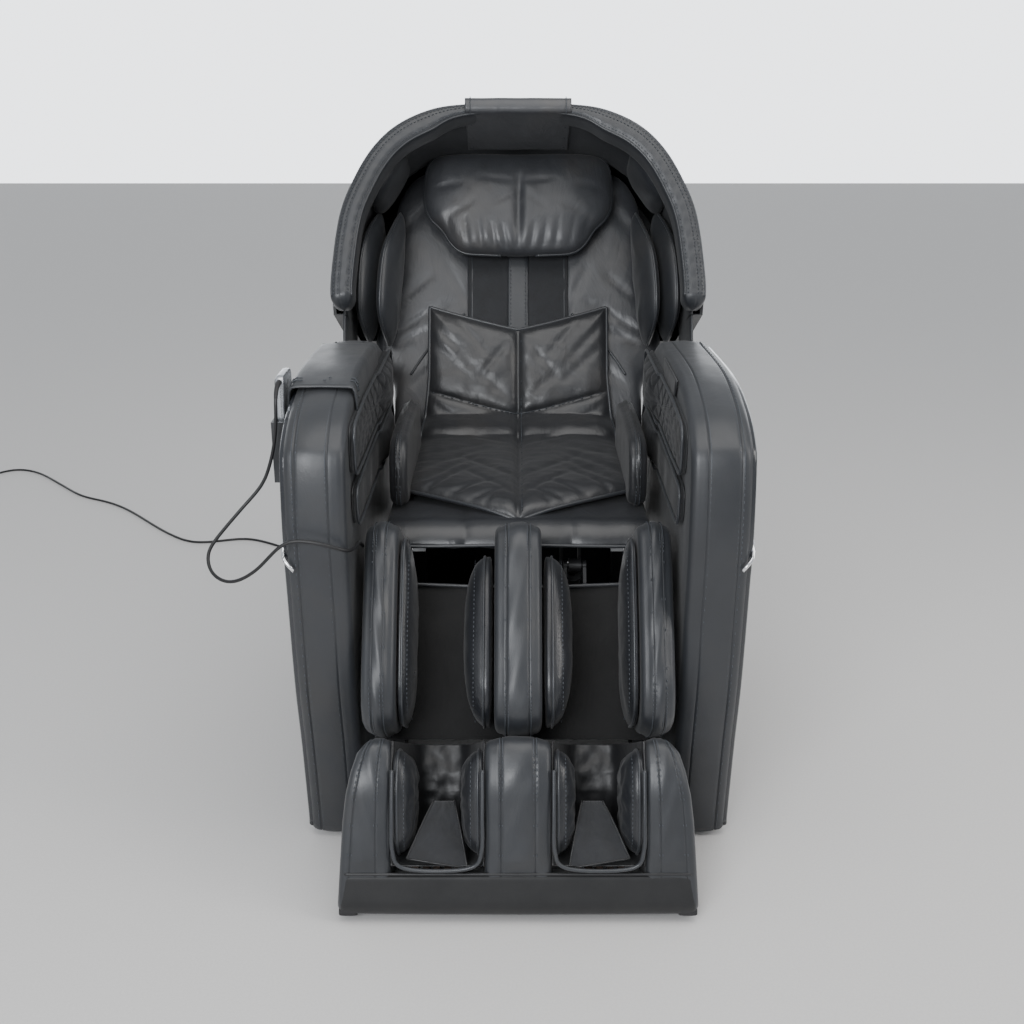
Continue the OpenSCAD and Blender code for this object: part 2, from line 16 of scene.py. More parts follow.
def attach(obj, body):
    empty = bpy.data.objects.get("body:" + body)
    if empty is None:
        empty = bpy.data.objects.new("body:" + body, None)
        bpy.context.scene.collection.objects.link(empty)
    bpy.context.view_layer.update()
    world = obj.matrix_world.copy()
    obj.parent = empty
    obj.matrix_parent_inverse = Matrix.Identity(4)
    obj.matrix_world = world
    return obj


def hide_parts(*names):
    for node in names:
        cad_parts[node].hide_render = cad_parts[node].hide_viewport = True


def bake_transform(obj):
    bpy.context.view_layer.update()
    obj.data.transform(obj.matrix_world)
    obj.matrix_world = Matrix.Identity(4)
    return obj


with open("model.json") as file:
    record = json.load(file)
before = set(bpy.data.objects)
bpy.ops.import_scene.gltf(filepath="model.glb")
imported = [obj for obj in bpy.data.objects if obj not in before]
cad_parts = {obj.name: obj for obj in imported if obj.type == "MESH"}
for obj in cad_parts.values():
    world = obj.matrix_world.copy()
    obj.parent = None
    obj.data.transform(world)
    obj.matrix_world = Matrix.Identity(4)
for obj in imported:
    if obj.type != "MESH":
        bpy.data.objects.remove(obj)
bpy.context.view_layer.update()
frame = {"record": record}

# ---- places from the frame ----
MM = 0.001
JOINT = {j["name"]: j for j in frame["record"]["behaviour"]["joints"]}
PIVOT = np.array(JOINT["recline"]["pos_m"])
KNEE = np.array(JOINT["leg_lift"]["pos_m"])
UP = np.array(JOINT["carriage_travel"]["axis"])
OUT = np.array([0, -UP[2], UP[1]])
DOWN = np.array(JOINT["foot_extend"]["axis"])
FRONT = np.array([0, DOWN[2], -DOWN[1]])


def placed(x, a, b, a_axis, b_axis, origin):
    """Points x across, a along one axis and b along another from an origin, in metres."""
    x, a, b = (q[..., None] for q in np.broadcast_arrays(*(np.asarray(q, float) for q in (x, a, b))))
    return MM * (x * np.array([1.0, 0, 0]) + a * a_axis + b * b_axis) + origin


def on_back(x, w, h):
    return placed(x, w, h, UP, OUT, PIVOT)


def on_leg(x, u, v):
    return placed(x, u, v, DOWN, FRONT, KNEE)


def in_row(x, y, z):
    return placed(x, y, z, np.array([0, 1.0, 0]), np.array([0, 0, 1.0]), np.zeros(3))


# ---- camera ----
CAMERA_AT = (0, -2.275, 1.24)
LOOKING_DOWN = 19.24
LENS = 43.5


def make_camera():
    data = bpy.data.cameras.new("camera")
    data.sensor_width = 36
    data.lens = LENS
    data.shift_x = -0.006
    cam = bpy.data.objects.new("camera", data)
    cam.location = CAMERA_AT
    cam.rotation_euler = (math.radians(90 - LOOKING_DOWN), 0, 0)
    bpy.context.scene.collection.objects.link(cam)
    bpy.context.scene.camera = cam


make_camera()


# ---- materials ----
def material(name, colour, rough, **sockets):
    m = bpy.data.materials.new(name)
    m.use_nodes = True
    b = m.node_tree.nodes["Principled BSDF"]
    b.inputs["Base Color"].default_value = (*colour, 1)
    b.inputs["Roughness"].default_value = rough
    for key, value in sockets.items():
        b.inputs[key.replace("_", " ")].default_value = value
    return m


def node(m, kind, **values):
    n = m.node_tree.nodes.new(kind)
    for key, value in values.items():
        if key in n.inputs:
            n.inputs[key].default_value = value
        else:
            setattr(n, key, value)
    return n


def link(m, a, b):
    m.node_tree.links.new(a, b)


def ramp(m, source, stops):
    r = node(m, "ShaderNodeValToRGB")
    el = r.color_ramp.elements
    while len(el) < len(stops):
        el.new(0.5)
    for e, (at, value) in zip(el, stops):
        e.position = at
        e.color = (*value, 1) if hasattr(value, "__len__") else (value, value, value, 1)
    link(m, source, r.inputs["Fac"])
    return r.outputs["Color"]


def coords(m):
    return node(m, "ShaderNodeTexCoord").outputs["Object"]


def noise_at(m, scale, detail=3.0, rough=0.55, at=None):
    n = node(m, "ShaderNodeTexNoise", Scale=scale, Detail=detail, Roughness=rough)
    link(m, at or coords(m), n.inputs["Vector"])
    return n.outputs["Fac"]


def bump(m, height, strength, distance, under=None):
    b = node(m, "ShaderNodeBump", Strength=strength, Distance=distance)
    link(m, height, b.inputs["Height"])
    if under is not None:
        link(m, under, b.inputs["Normal"])
    return b.outputs["Normal"]


def leather(name, tone=(0.021, 0.0235, 0.028), rough=0.41, grain=1.0, creases=0.5):
    """Satin coated leather: pebbled grain, soft handling creases, duller and browner where it is worn."""
    m = material(name, tone, rough, Specular_IOR_Level=0.55, Coat_Weight=0.10, Coat_Roughness=0.28,
                 Sheen_Weight=0.08, Sheen_Roughness=0.5)
    shader = m.node_tree.nodes["Principled BSDF"]
    at = coords(m)
    worn = noise_at(m, 7.0, 4.0, 0.6, at)
    dark = tuple(c * 0.78 for c in tone)
    warm = (tone[0] * 1.35, tone[1] * 1.22, tone[2] * 1.05)
    link(m, ramp(m, worn, [(0.30, dark), (0.52, tone), (0.80, warm)]), shader.inputs["Base Color"])
    link(m, ramp(m, noise_at(m, 23.0, 5.0, 0.6, at), [(0.25, rough - 0.06), (0.75, rough + 0.10)]),
         shader.inputs["Roughness"])
    pebble = node(m, "ShaderNodeTexVoronoi", Scale=620.0, feature="SMOOTH_F1")
    link(m, at, pebble.inputs["Vector"])
    n1 = bump(m, pebble.outputs["Distance"], 0.16 * grain, 0.0006)
    n2 = bump(m, noise_at(m, 150.0, 3.0, 0.6, at), 0.10 * grain, 0.0012, n1)
    stretched = node(m, "ShaderNodeMapping")
    stretched.inputs["Scale"].default_value = (1.0, 0.45, 0.6)
    link(m, at, stretched.inputs["Vector"])
    fold = node(m, "ShaderNodeTexNoise", Scale=16.0, Detail=4.0, Roughness=0.62, Distortion=0.9)
    link(m, stretched.outputs["Vector"], fold.inputs["Vector"])
    link(m, bump(m, fold.outputs["Fac"], 0.22 * creases, 0.012, n2), shader.inputs["Normal"])
    return m


def fabric(name, tone=(0.008, 0.009, 0.0115), rough=0.82, scale=900.0):
    m = material(name, tone, rough, Sheen_Weight=0.25, Sheen_Roughness=0.6)
    shader = m.node_tree.nodes["Principled BSDF"]
    at = coords(m)
    waves = []
    for direction in ("X", "Z"):
        w = node(m, "ShaderNodeTexWave", Scale=scale / 3, bands_direction=direction)
        link(m, at, w.inputs["Vector"])
        waves.append(w.outputs["Fac"])
    mix = node(m, "ShaderNodeMath", operation="MULTIPLY")
    link(m, waves[0], mix.inputs[0])
    link(m, waves[1], mix.inputs[1])
    lint = ramp(m, noise_at(m, 30.0, 5.0, 0.7, at),
                [(0.3, tuple(c * 0.7 for c in tone)), (0.8, tuple(c * 1.6 for c in tone))])
    link(m, lint, shader.inputs["Base Color"])
    link(m, bump(m, noise_at(m, 26.0, 4.0, 0.6, at), 0.25, 0.008, bump(m, mix.outputs[0], 0.35, 0.0008)),
         shader.inputs["Normal"])
    return m


def moulded(name, tone, rough, fine=380.0, depth=0.10, **sockets):
    """Moulded or painted surface: fine texture and slightly uneven gloss."""
    m = material(name, tone, rough, **sockets)
    shader = m.node_tree.nodes["Principled BSDF"]
    at = coords(m)
    link(m, ramp(m, noise_at(m, 11.0, 5.0, 0.65, at), [(0.3, max(rough - 0.08, 0.03)), (0.8, rough + 0.12)]),
         shader.inputs["Roughness"])
    stops = [(0.3, tuple(c * 0.85 for c in tone)), (0.75, tuple(min(1, c * 1.18) for c in tone))]
    link(m, ramp(m, noise_at(m, 4.0, 3.0, 0.5, at), stops),
         shader.inputs["Base Color"])
    link(m, bump(m, noise_at(m, fine, 3.0, 0.6, at), depth, 0.0006), shader.inputs["Normal"])
    return m


LEATHER = leather("leather_black", creases=0.28)
LEATHER_PAD = leather("leather_soft_pad", tone=(0.020, 0.021, 0.0235), rough=0.37, creases=0.9)
# Lighter copy of the black leather for the back covers, pillow and flap: painted light, brightening faces
# that sit in the hood's shade.
LEATHER_PAINTED_LIGHT = leather("leather_back_face_painted_light", tone=(0.040, 0.042, 0.047), rough=0.37, creases=0.9)
# Darker copy of the black leather for the foot wells, the foot band's piping and the toe flap hems: painted
# shade in those recesses.
LEATHER_PAINTED_SHADE = leather("leather_shaded", tone=(0.008, 0.0085, 0.010), rough=0.46, creases=0.8)
LEATHER_GLOSS = leather("leather_airbag", tone=(0.012, 0.0135, 0.017), rough=0.32, creases=0.6)
FABRIC = fabric("mesh_fabric")
WELL = fabric("well_cloth", tone=(0.0035, 0.0034, 0.0036), rough=0.9)
LEATHER_BAND = leather("leather_low_band", tone=(0.0035, 0.004, 0.005), rough=0.66, creases=0.3)
PIPING = leather("piping", tone=(0.026, 0.029, 0.034), rough=0.34, creases=0.1)
THREAD = moulded("thread", (0.055, 0.062, 0.072), 0.6, fine=1500.0, depth=0.3)
SHELL = moulded("shell_plastic", (0.010, 0.011, 0.013), 0.38)
SIDE = moulded("side_panel", (0.016, 0.018, 0.022), 0.22, Coat_Weight=0.5, Coat_Roughness=0.08)
CHROME = moulded("chrome", (0.80, 0.81, 0.83), 0.10, fine=240.0, depth=0.02, Metallic=1.0)
STEEL = moulded("steel", (0.52, 0.53, 0.55), 0.30, fine=900.0, depth=0.08, Metallic=1.0)
PAINT = moulded("frame_paint", (0.025, 0.025, 0.027), 0.45, fine=260.0, depth=0.18)
RUBBER = moulded("rubber", (0.014, 0.014, 0.015), 0.62, fine=500.0, depth=0.2)
CORD = moulded("cord_sheath", (0.012, 0.012, 0.013), 0.42, fine=700.0, depth=0.12)
GLASS = moulded("handset_glass", (0.010, 0.011, 0.014), 0.10, fine=60.0, depth=0.01, Coat_Weight=1.0,
                Coat_Roughness=0.03)
SILVER = moulded("handset_silver", (0.55, 0.57, 0.60), 0.28, Metallic=0.9)
PLY = moulded("plywood", (0.42, 0.29, 0.17), 0.6, fine=120.0, depth=0.2)
ROLLER = moulded("roller_plastic", (0.16, 0.12, 0.10), 0.35)


def dress(mat, *nodes):
    for name in nodes:
        ob = bpy.data.objects[name]
        for s in ob.material_slots:
            s.material = mat


# ---- mesh tools ----
SIDES = (("left", -1), ("right", 1))
WELD = 2e-5
ROLL = (0, 18, 36, 54, 72, 90)  # degrees round a rolled edge
SIDE_LOOPS = ((0.001, 1), (0.35, 1), (0.7, 0.9), (0.88, 0.4))  # how far out, how much of the dish
FINE = {"pitch": 0.0075, "length": 0.0048, "r": 0.0008}


def piece(name, verts, faces, mat, body, replaces=(), slot="leather", fill=None):
    me = bpy.data.meshes.new(name)
    me.from_pydata(np.asarray(verts, float).reshape(-1, 3).tolist(), [], [list(map(int, f)) for f in faces])
    bm = bmesh.new()
    bm.from_mesh(me)
    bmesh.ops.remove_doubles(bm, verts=bm.verts, dist=WELD)
    bmesh.ops.recalc_face_normals(bm, faces=bm.faces)
    bm.to_mesh(me)
    bm.free()
    me.materials.append(mat)
    me.polygons.foreach_set("use_smooth", [True] * len(me.polygons))
    ob = bpy.data.objects.new(name, me)
    bpy.context.scene.collection.objects.link(ob)
    if body:
        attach(ob, body)
    if replaces:
        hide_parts(*replaces)
    return ob


def quads(rows, cols, wrap_rows=False, wrap_cols=False, start=0):
    out = []
    for i in range(rows if wrap_rows else rows - 1):
        for j in range(cols if wrap_cols else cols - 1):
            a, b = i * cols + j, i * cols + (j + 1) % cols
            c, d = ((i + 1) % rows) * cols + (j + 1) % cols, ((i + 1) % rows) * cols + j
            out.append([start + a, start + b, start + c, start + d])
    return out


def skin(rows, cols):
    """Faces over a stack of closed rings, with both ends capped."""
    caps = [list(range(cols))[::-1], list(range((rows - 1) * cols, rows * cols))]
    return quads(rows, cols, wrap_cols=True) + caps


def two_sided(name, top, low, mat, body, replaces=(), slot="leather"):
    """A thin closed sheet between two grids of points, joined round their rims."""
    rows, cols = top.shape[:2]
    n = rows * cols
    at = np.arange(n).reshape(rows, cols)
    ring = np.concatenate([at[0], at[1:, -1], at[-1, -2::-1], at[-2:0:-1, 0]])
    after = np.roll(ring, -1)
    faces = quads(rows, cols) + [q[::-1] for q in quads(rows, cols, start=n)]
    faces += np.stack([ring, after, n + after, n + ring], 1).tolist()
    return piece(name, np.vstack([top.reshape(-1, 3), low.reshape(-1, 3)]), faces, mat, body, replaces, slot)


def spline(points, steps=6, closed=False):
    p = np.asarray(points, float)
    n = len(p)
    out = []
    for i in range(n if closed else n - 1):
        a, b, c, d = ((p[(i + k) % n] for k in (-1, 0, 1, 2)) if closed else
                      (p[max(i - 1, 0)], p[i], p[i + 1], p[min(i + 2, n - 1)]))
        for k in range(steps):
            t = k / steps
            out.append(0.5 * (2 * b + (c - a) * t + (2 * a - 5 * b + 4 * c - d) * t * t +
                              (3 * b - a - 3 * c + d) * t ** 3))
    if not closed:
        out.append(p[-1])
    return np.array(out)


def even(points, n, closed=False):
    """n points a like distance apart along a line."""
    p = np.asarray(points, float)
    if closed:
        p = np.vstack([p, p[:1]])
    s = np.concatenate([[0], np.cumsum(np.linalg.norm(np.diff(p, axis=0), axis=1))])
    at = np.linspace(0, s[-1], n, endpoint=not closed)
    return np.stack([np.interp(at, s, p[:, k]) for k in range(p.shape[1])], 1)


def rounded(points, d, steps=5):
    """A closed outline's corners eased with short curves reaching d along each side."""
    p = np.asarray(points, float)
    out = []
    for i in range(len(p)):
        q, a, b = p[i], p[i - 1], p[(i + 1) % len(p)]
        la, lb = np.linalg.norm(a - q), np.linalg.norm(b - q)
        s, e = q + (a - q) / la * min(d, la * 0.45), q + (b - q) / lb * min(d, lb * 0.45)
        for k in range(steps + 1):
            t = k / steps
            out.append(s * (1 - t) ** 2 + q * 2 * t * (1 - t) + e * t * t)
    return np.array(out)


def outward(p):
    """Outward unit normals of a closed outline."""
    t = np.roll(p, -1, 0) - np.roll(p, 1, 0)
    nrm = np.stack([t[:, 1], -t[:, 0]], 1)
    nrm /= np.linalg.norm(nrm, axis=1)[:, None] + 1e-12
    area = np.sum(p[:, 0] * np.roll(p[:, 1], -1) - np.roll(p[:, 0], -1) * p[:, 1])
    return nrm if area > 0 else -nrm


def across(p):
    """Unit normals of an open line in a plane."""
    t = np.gradient(p, axis=0)
    t /= np.linalg.norm(t, axis=1)[:, None]
    return np.stack([-t[:, 1], t[:, 0]], 1)


def sideways(place, s):
    """Where a point of a side outline, c across, is."""
    return lambda q, c: place(s * c, q[..., 0], q[..., 1])


def facing(s=1):
    """Where a point of an outline on the back's front, c out of it, is."""
    return lambda q, c: on_back(s * q[..., 0], q[..., 1], c)


def tube(name, points, radius, mat, body, replaces=(), slot="leather", sides=8, closed=False):
    p = np.asarray(points, float)
    t = np.gradient(p, axis=0) if not closed else np.roll(p, -1, 0) - np.roll(p, 1, 0)
    t /= np.linalg.norm(t, axis=1)[:, None] + 1e-12
    ref = np.array([0.31, 0.17, 0.93])
    ref = ref - ref.dot(t[0]) * t[0]
    ang = np.arange(sides) * 2 * math.pi / sides
    rings = []
    for i in range(len(p)):
        ref = ref - ref.dot(t[i]) * t[i]
        ref /= np.linalg.norm(ref)
        r = radius[i] if hasattr(radius, "__len__") else radius
        rings.append(p[i] + r * (np.cos(ang)[:, None] * ref + np.sin(ang)[:, None] * np.cross(t[i], ref)))
    faces = quads(len(p), sides, wrap_rows=True, wrap_cols=True) if closed else skin(len(p), sides)
    return piece(name, np.vstack(rings), faces, mat, body, replaces, slot)


def stitches(name, lines, body, pitch=0.0085, length=0.0055, r=0.0009):
    """Rows of thread stitches, each a small raised spindle. lines are (points, normals)."""
    verts, faces = [], []
    for pts, nrm in lines:
        n = max(2, int(np.sum(np.linalg.norm(np.diff(pts, axis=0), axis=1)) / pitch))
        q = even(np.hstack([pts, nrm]), n * 2)
        for i in range(0, len(q) - 1, 2):
            a, up = q[i, :3], q[i, 3:]
            t = q[i + 1, :3] - a
            t /= np.linalg.norm(t) + 1e-9
            side = np.cross(t, up)
            k = len(verts)
            verts.append(a)
            for m in (a + t * length * f + up * r * 0.9 for f in (0.2, 0.8)):
                verts += [m + side * r, m + up * r, m - side * r, m - up * r]
            verts.append(a + t * length)
            for j in range(4):
                l = (j + 1) % 4
                faces += [[k, k + 1 + l, k + 1 + j], [k + 1 + j, k + 1 + l, k + 5 + l, k + 5 + j],
                          [k + 5 + j, k + 5 + l, k + 9]]
    return piece(name, verts, faces, THREAD, body)


def seam_rows(lines, shifts, lift, upto=None):
    """Stitch rows beside seams: points moved over by each shift, in millimetres, and raised, with normals."""
    return [(pts[:upto] + np.array([d * MM, 0, 0]) + nrm[:upto] * lift, nrm[:upto])
            for pts, nrm in lines for d in shifts]


def only(rows, test):
    return [(pts[test(pts, nrm)], nrm[test(pts, nrm)]) for pts, nrm in rows]


def band(name, outline, x0, x1, place, mat, body, replaces=(), edge=16.0, crown=3.0, seams=(), groove=1.6,
         n=150, centre=None, fill=None, dish=0.0, relief=None, slot="leather"):
    """A padded body with a closed side outline between x0 and x1: rolled edges, a crowned face, sunk seams.

    Returns each seam's (points, normals)."""
    p = even(outline, n, closed=True)
    nrm = outward(p)
    for _ in range(3):
        nrm = (np.roll(nrm, 1, 0) + 2 * nrm + np.roll(nrm, -1, 0)) / 4
        nrm /= np.linalg.norm(nrm, axis=1)[:, None]
    c = np.asarray(centre if centre is not None else p.mean(0), float)
    x0, x1 = np.broadcast_to(x0, n).astype(float), np.broadcast_to(x1, n).astype(float)
    way = np.sign(x1 - x0)
    mid, half = (x0 + x1) / 2, (x1 - x0) / 2 - way * edge

    def end(at, inward):
        side = [(c + (p - nrm * edge - c) * v, at + inward * dish * d) for v, d in SIDE_LOOPS]
        return side + [(p - nrm * (edge * (1 - math.sin(a))), at + inward * edge * (1 - math.cos(a)))
                       for a in map(math.radians, ROLL)]

    loops = end(x0, way)
    for v in sorted(set([round(t, 4) for t in np.linspace(-1, 1, 13)[1:-1]] +
                        [round(t + d, 4) for t in seams for d in (-0.035, -0.012, 0.012, 0.035)])):
        lift = crown * (1 - v * v) - sum(groove * math.exp(-((v - s) / 0.02) ** 2) for s in seams)
        x = mid + half * v
        lifts = lift + (relief(x, p, v) if relief else 0)
        loops.append((p + nrm * np.broadcast_to(lifts, n)[:, None], x))
    loops += end(x1, -way)[::-1]
    piece(name, np.stack([place(x, *q.T) for q, x in loops]), skin(len(loops), n), mat, body, replaces, slot,
          fill)
    lines = {}
    for s in seams:
        low = crown * (1 - s * s) - groove + 0.2
        pts, tip = (place(mid + half * s, *(p + nrm * h).T) for h in (low, low + 10))
        lines[s] = (pts, (tip - pts) / 0.01)
    return lines


def cushion(name, outline, c0, c1, place, mat, body, replaces=(), centre=None, power=3.0, back=0.15, n=150,
            rings=26, relief=None, fill=0.6):
    """A stuffed form: an outline in two coordinates, swelling along the third from c0 at its back to c1."""
    p = even(outline, n, closed=True)
    c = np.asarray(centre if centre is not None else p.mean(0), float)
    seam = c0 + (c1 - c0) * back
    layers = []
    for goal, wave, f in [(c0, math.sin, k / 8) for k in range(8)] + \
            [(c1, math.cos, k / rings) for k in range(rings + 1)]:
        s = max(wave(f * math.pi / 2), 0.002)
        q = c + (p - c) * s
        z = np.full(n, seam + (goal - seam) * (1 - s ** power) ** (1 / 2.2))
        if relief is not None and wave is math.cos:
            z = z + relief(q[:, 0], q[:, 1], s)
        layers.append(place(q, z))
    piece(name, np.stack(layers), skin(len(layers), n), mat, body, replaces, "leather", fill)


def crease(a, b, p, q, depth, width):
    """A soft valley along the segment from p to q."""
    p, q = np.array(p, float), np.array(q, float)
    d = q - p
    t = np.clip(((a - p[0]) * d[0] + (b - p[1]) * d[1]) / d.dot(d), 0, 1)
    r2 = (a - p[0] - t * d[0]) ** 2 + (b - p[1] - t * d[1]) ** 2
    return -depth * np.exp(-r2 / (2 * width * width)) * (1 - 0.75 * np.abs(2 * t - 1) ** 2)


def creases(a, b, rows):
    return sum(crease(a, b, *row) for row in rows)


def lumps(a, b, scale, amount, seed=0.0):
    flat_a, flat_b = np.ravel(a), np.ravel(b)
    out = np.array([noise.noise(Vector((x / scale, y / scale, seed))) for x, y in zip(flat_a, flat_b)])
    return (out * amount).reshape(np.shape(a))


def fade(f, k):
    """1 inside a cushion, falling to 0 at its edge, where f is 1."""
    return np.clip((1 - f) * k, 0, 1)


# ---- cords ----
def route(points, n, ease):
    """A cord's centreline, eased to bend as gently as its sheath allows, straight where it leaves."""
    p = even(spline(np.array(points, float), 8), n)
    for _ in range(ease):
        p[4:-1] = (p[3:-2] + 2 * p[4:-1] + p[5:]) / 4
    return even(p, n) * MM


MAINS_R, HAND_R = 0.0032, 0.0028


def make_cords():
    mains = [(-120, 432, 110), (-120, 470, 108), (-128, 520, 70), (-150, 560, 18), (-200, 610, 3.2),
             (-330, 730, 3.2), (-500, 860, 3.2), (-675, 980, 3.2), (-718, 1012, 3.2), (-781, 1040, 3.2),
             (-859, 1016, 3.2), (-926, 1010, 3.2), (-1023, 1094, 3.2), (-1180, 1279, 3.2),
             (-1270, 1360, 3.2), (-1376, 1425, 3.2), (-1485, 1544, 3.2), (-1597, 1664, 3.2),
             (-1688, 1705, 3.2), (-1740, 1650, 3.2), (-1772, 1590, 9), (-1790, 1540, 14)]
    path = route(mains, 700, 110)
    path[:, 2] = np.maximum(path[:, 2], 0.0033)
    lead = tube("mains_lead", path, MAINS_R, CORD, "base", ["mains_cord"], "rubber", sides=12)
    along = np.arange(24)
    taper = 0.0036 + 0.0042 * (1 - along / 29.0) + 0.0006 * (along % 2)
    tube("mains_strain_relief", even(path[:48], 24), taper, RUBBER, "base", slot="rubber", sides=14)

    hand = [(-377, -366, 790), (-377, -369.2, 790), (-377, -380, 790), (-377.5, -393, 782),
            (-378, -400, 764), (-379, -401, 735), (-384, -401, 700), (-392, -401, 669), (-407, -404, 633),
            (-443, -415, 593), (-479, -440, 553), (-490, -455, 533), (-478, -480, 511), (-444, -505, 507),
            (-403, -520, 531), (-364, -530, 572), (-344, -530, 584), (-314, -530, 583), (-279, -527, 573),
            (-258, -514, 562), (-253, -480, 556), (-254, -430, 545), (-254, -380, 520)]
    path = route(hand, 500, 90)
    lead = tube("handset_lead", path, HAND_R, CORD, "base", ["handset_cord"], "rubber", sides=10)
    tube("handset_boot", path[:26], 0.0030 + 0.0016 * (1 - np.arange(26) / 25.0), RUBBER, "handset_unit",
         slot="rubber", sides=12)


# ---- arms ----
ARM_FRONT = [(-432, 12), (-459, 187), (-484, 311), (-499, 475), (-506, 578), (-494, 685), (-471, 726),
             (-399, 762), (-251, 784), (30, 776)]
ARM_REAR = [(120, 740), (250, 640), (345, 480), (400, 300), (425, 60), (400, 12)]
ARM_LINE = np.vstack([spline(ARM_FRONT, 8), ARM_REAR])
ARM_MID = (-60, 400)
ARM_FACE = 362.5  # how far out the side panel reaches
TRIM_MID, TRIM_RADIUS = (-90, 60), 640


def inset(outline, d, n=160):
    p = even(outline, n, closed=True)
    return p - outward(p) * d


def arm(name, s):
    lines = band("arm_leather_" + name, inset(ARM_LINE, 1.5, 260), s * 262, s * 357, in_row, LEATHER, "base",
                 ["arm_body_" + name], edge=13, crown=3.2, seams=(-0.62, 0.86), groove=1.8, n=260,
                 centre=ARM_MID, dish=2.0,
                 relief=lambda x, p, v: 0.35 * np.sin(p[:, 1] / 37.0 + 3 * v) * math.exp(-(v * v)))
    rows = seam_rows([lines[-0.62]], (s * 3.6,), 0.0006, 250) + \
        seam_rows([lines[0.86]], (s * -3.4, s * 3.4), 0.0006, 250)
    stitches("arm_stitching_" + name, only(rows, lambda pts, nrm: pts[:, 1] < 0.1), "base")
    band("arm_side_" + name, inset(ARM_LINE, 9, 220), s * 348, s * ARM_FACE, in_row, SIDE, "base",
         ["arm_panel_" + name], edge=5, crown=0.5, n=220, centre=ARM_MID, slot="glossy")
    arc = np.radians(np.linspace(50, 129.5, 60))
    y, z = TRIM_MID[0] + TRIM_RADIUS * np.cos(arc), TRIM_MID[1] + TRIM_RADIUS * np.sin(arc)
    y, z = y[y > -500], z[y > -500]
    tip = in_row(s * np.array([362.0, 358.5, 352.0, 345.0]), np.array([-500, -504.5, -507.5, -508.5]),
                 z[-1] + np.array([-7, -12, -19, -27]))
    tube("arm_trim_strip_" + name, np.vstack([in_row(s * ARM_FACE, y, z), tip]), 0.0032, CHROME, "base",
         ["arm_trim_" + name], "chrome_trim")


def forearm(name, s):
    upper = rounded([(-436, 655), (-440, 735), (-300, 747), (115, 746), (118, 660), (-300, 654)], 26)
    lower = rounded([(-430, 570), (-438, 636), (-300, 641), (112, 640), (116, 572), (-300, 568)], 26)

    def quilt(a, b, f):
        u, v = (a + b) / 46.0, (a - b) / 46.0
        d = np.minimum(np.abs((u % 1) - 0.5), np.abs((v % 1) - 0.5))
        return (1.0 - 3.2 * np.exp(-(d / 0.07) ** 2)) * (1 - f ** 8)

    def ribs(a, b, f):
        return 1.2 * np.sin(a / 16.0) * (1 - f ** 3)

    def bulge(a, f):
        return 19.0 / (1 + np.exp(-(a + 95) / 17.0)) * (1 - f ** 4)

    for part, line, finish in (("upper", upper, quilt), ("lower", lower, ribs)):
        cushion(f"forearm_{part}_{name}", line, 263, 252, sideways(in_row, s), LEATHER_PAD, "base",
                ["forearm_pads_" + name], power=5, n=260, rings=30, centre=(-160, line[:, 1].mean()),
                relief=lambda a, b, f: -(bulge(a, f) + finish(a, b, f)))
        y, z = even(line, 160, closed=True).T
        tube(f"forearm_piping_{part}_{name}", in_row(s * (253.0 - 4 * (y > -120)), y, z), 0.0026, PIPING,
             "base", closed=True)


def bolster(name, s):
    line = rounded([(-204, 524), (-206, 600), (-182, 641), (-60, 646), (125, 640), (129, 524)], 34)
    lines = band("hip_pad_" + name, line, s * 195, s * 227, in_row, LEATHER_PAD, "seat",
                 ["hip_bolster_" + name], edge=9, crown=3.5, seams=(-0.45, 0.5), groove=1.4, n=140, fill=0.7,
                 relief=lambda x, p, v: 1.2 * np.sin(p[:, 1] / 11.0 + 2 * v) * math.exp(-2 * v * v))
    front = only(lines.values(), lambda pts, nrm: pts[:, 1] < -0.12)
    stitches("hip_stitching_" + name, seam_rows(front, (0,), 0.0012), "seat")


def saddle():
    """The strap of leather over the left arm, its lower edges piped and stitched."""
    steps, n = 30, 56
    top = spline(ARM_FRONT, 8)
    ys = np.linspace(-352, -34, steps)
    # Heights under 300 count from the arm's top.
    cross = [(-365.6, 652), (-365.6, 700), (-365.4, 755), (-361, 3.2), (-350, 5.6), (-310, 6.2), (-274, 5.6),
             (-263, 3.4), (-259.4, -16), (-258.6, -60), (-258.2, -104)]
    rows = []
    for y in ys:
        h = float(np.interp(y, top[:, 0], top[:, 1]))
        prof = [(x, z if z > 300 else h + z) for x, z in cross]
        prof[2] = (-365.4, h - 14)
        rows.append(even(spline(prof, 5), n))
    x, z = np.moveaxis(np.array(rows), 2, 0)
    y = np.repeat(ys[:, None], n, 1)
    grid = in_row(x, y, z)
    nrm = np.cross(np.gradient(grid, axis=1), np.gradient(grid, axis=0))
    nrm /= np.linalg.norm(nrm, axis=2)[:, :, None]
    if nrm[15, 28, 2] < 0:
        nrm = -nrm
    wave = np.maximum(lumps(x * 2, y, 60, 1.0, 3.0)[:, :, None] * MM, 0)
    outer = grid + nrm * (0.0008 + wave)
    two_sided("arm_saddle_strap", outer, grid - nrm * 0.0012, LEATHER, "base", ["arm_saddle"])
    tube("arm_saddle_piping", outer[0] + np.array([0, -0.001, 0]), 0.0022, PIPING, "base")
    rows = seam_rows([(outer[2], nrm[2]), (outer[3, 20:], nrm[3, 20:])], (0,), 0.0008)
    stitches("arm_saddle_stitching", rows, "base")


def inner_flap():
    """A small three-cornered leather flap inside the right arm."""
    down, along = np.linspace(0, 1, 18)[:, None], np.linspace(0, 1, 12)[None, :]
    outer = in_row(258.6 - 1.6 * np.sin(down * 3) * (1 - along), -300 + 190 * along,
                   776 - (6 + 92 * (1 - np.abs(2 * along - 1) ** 1.4)) * down)
    two_sided("arm_inner_flap", outer, outer + np.array([0.0022, 0, 0]), LEATHER_PAD, "base")


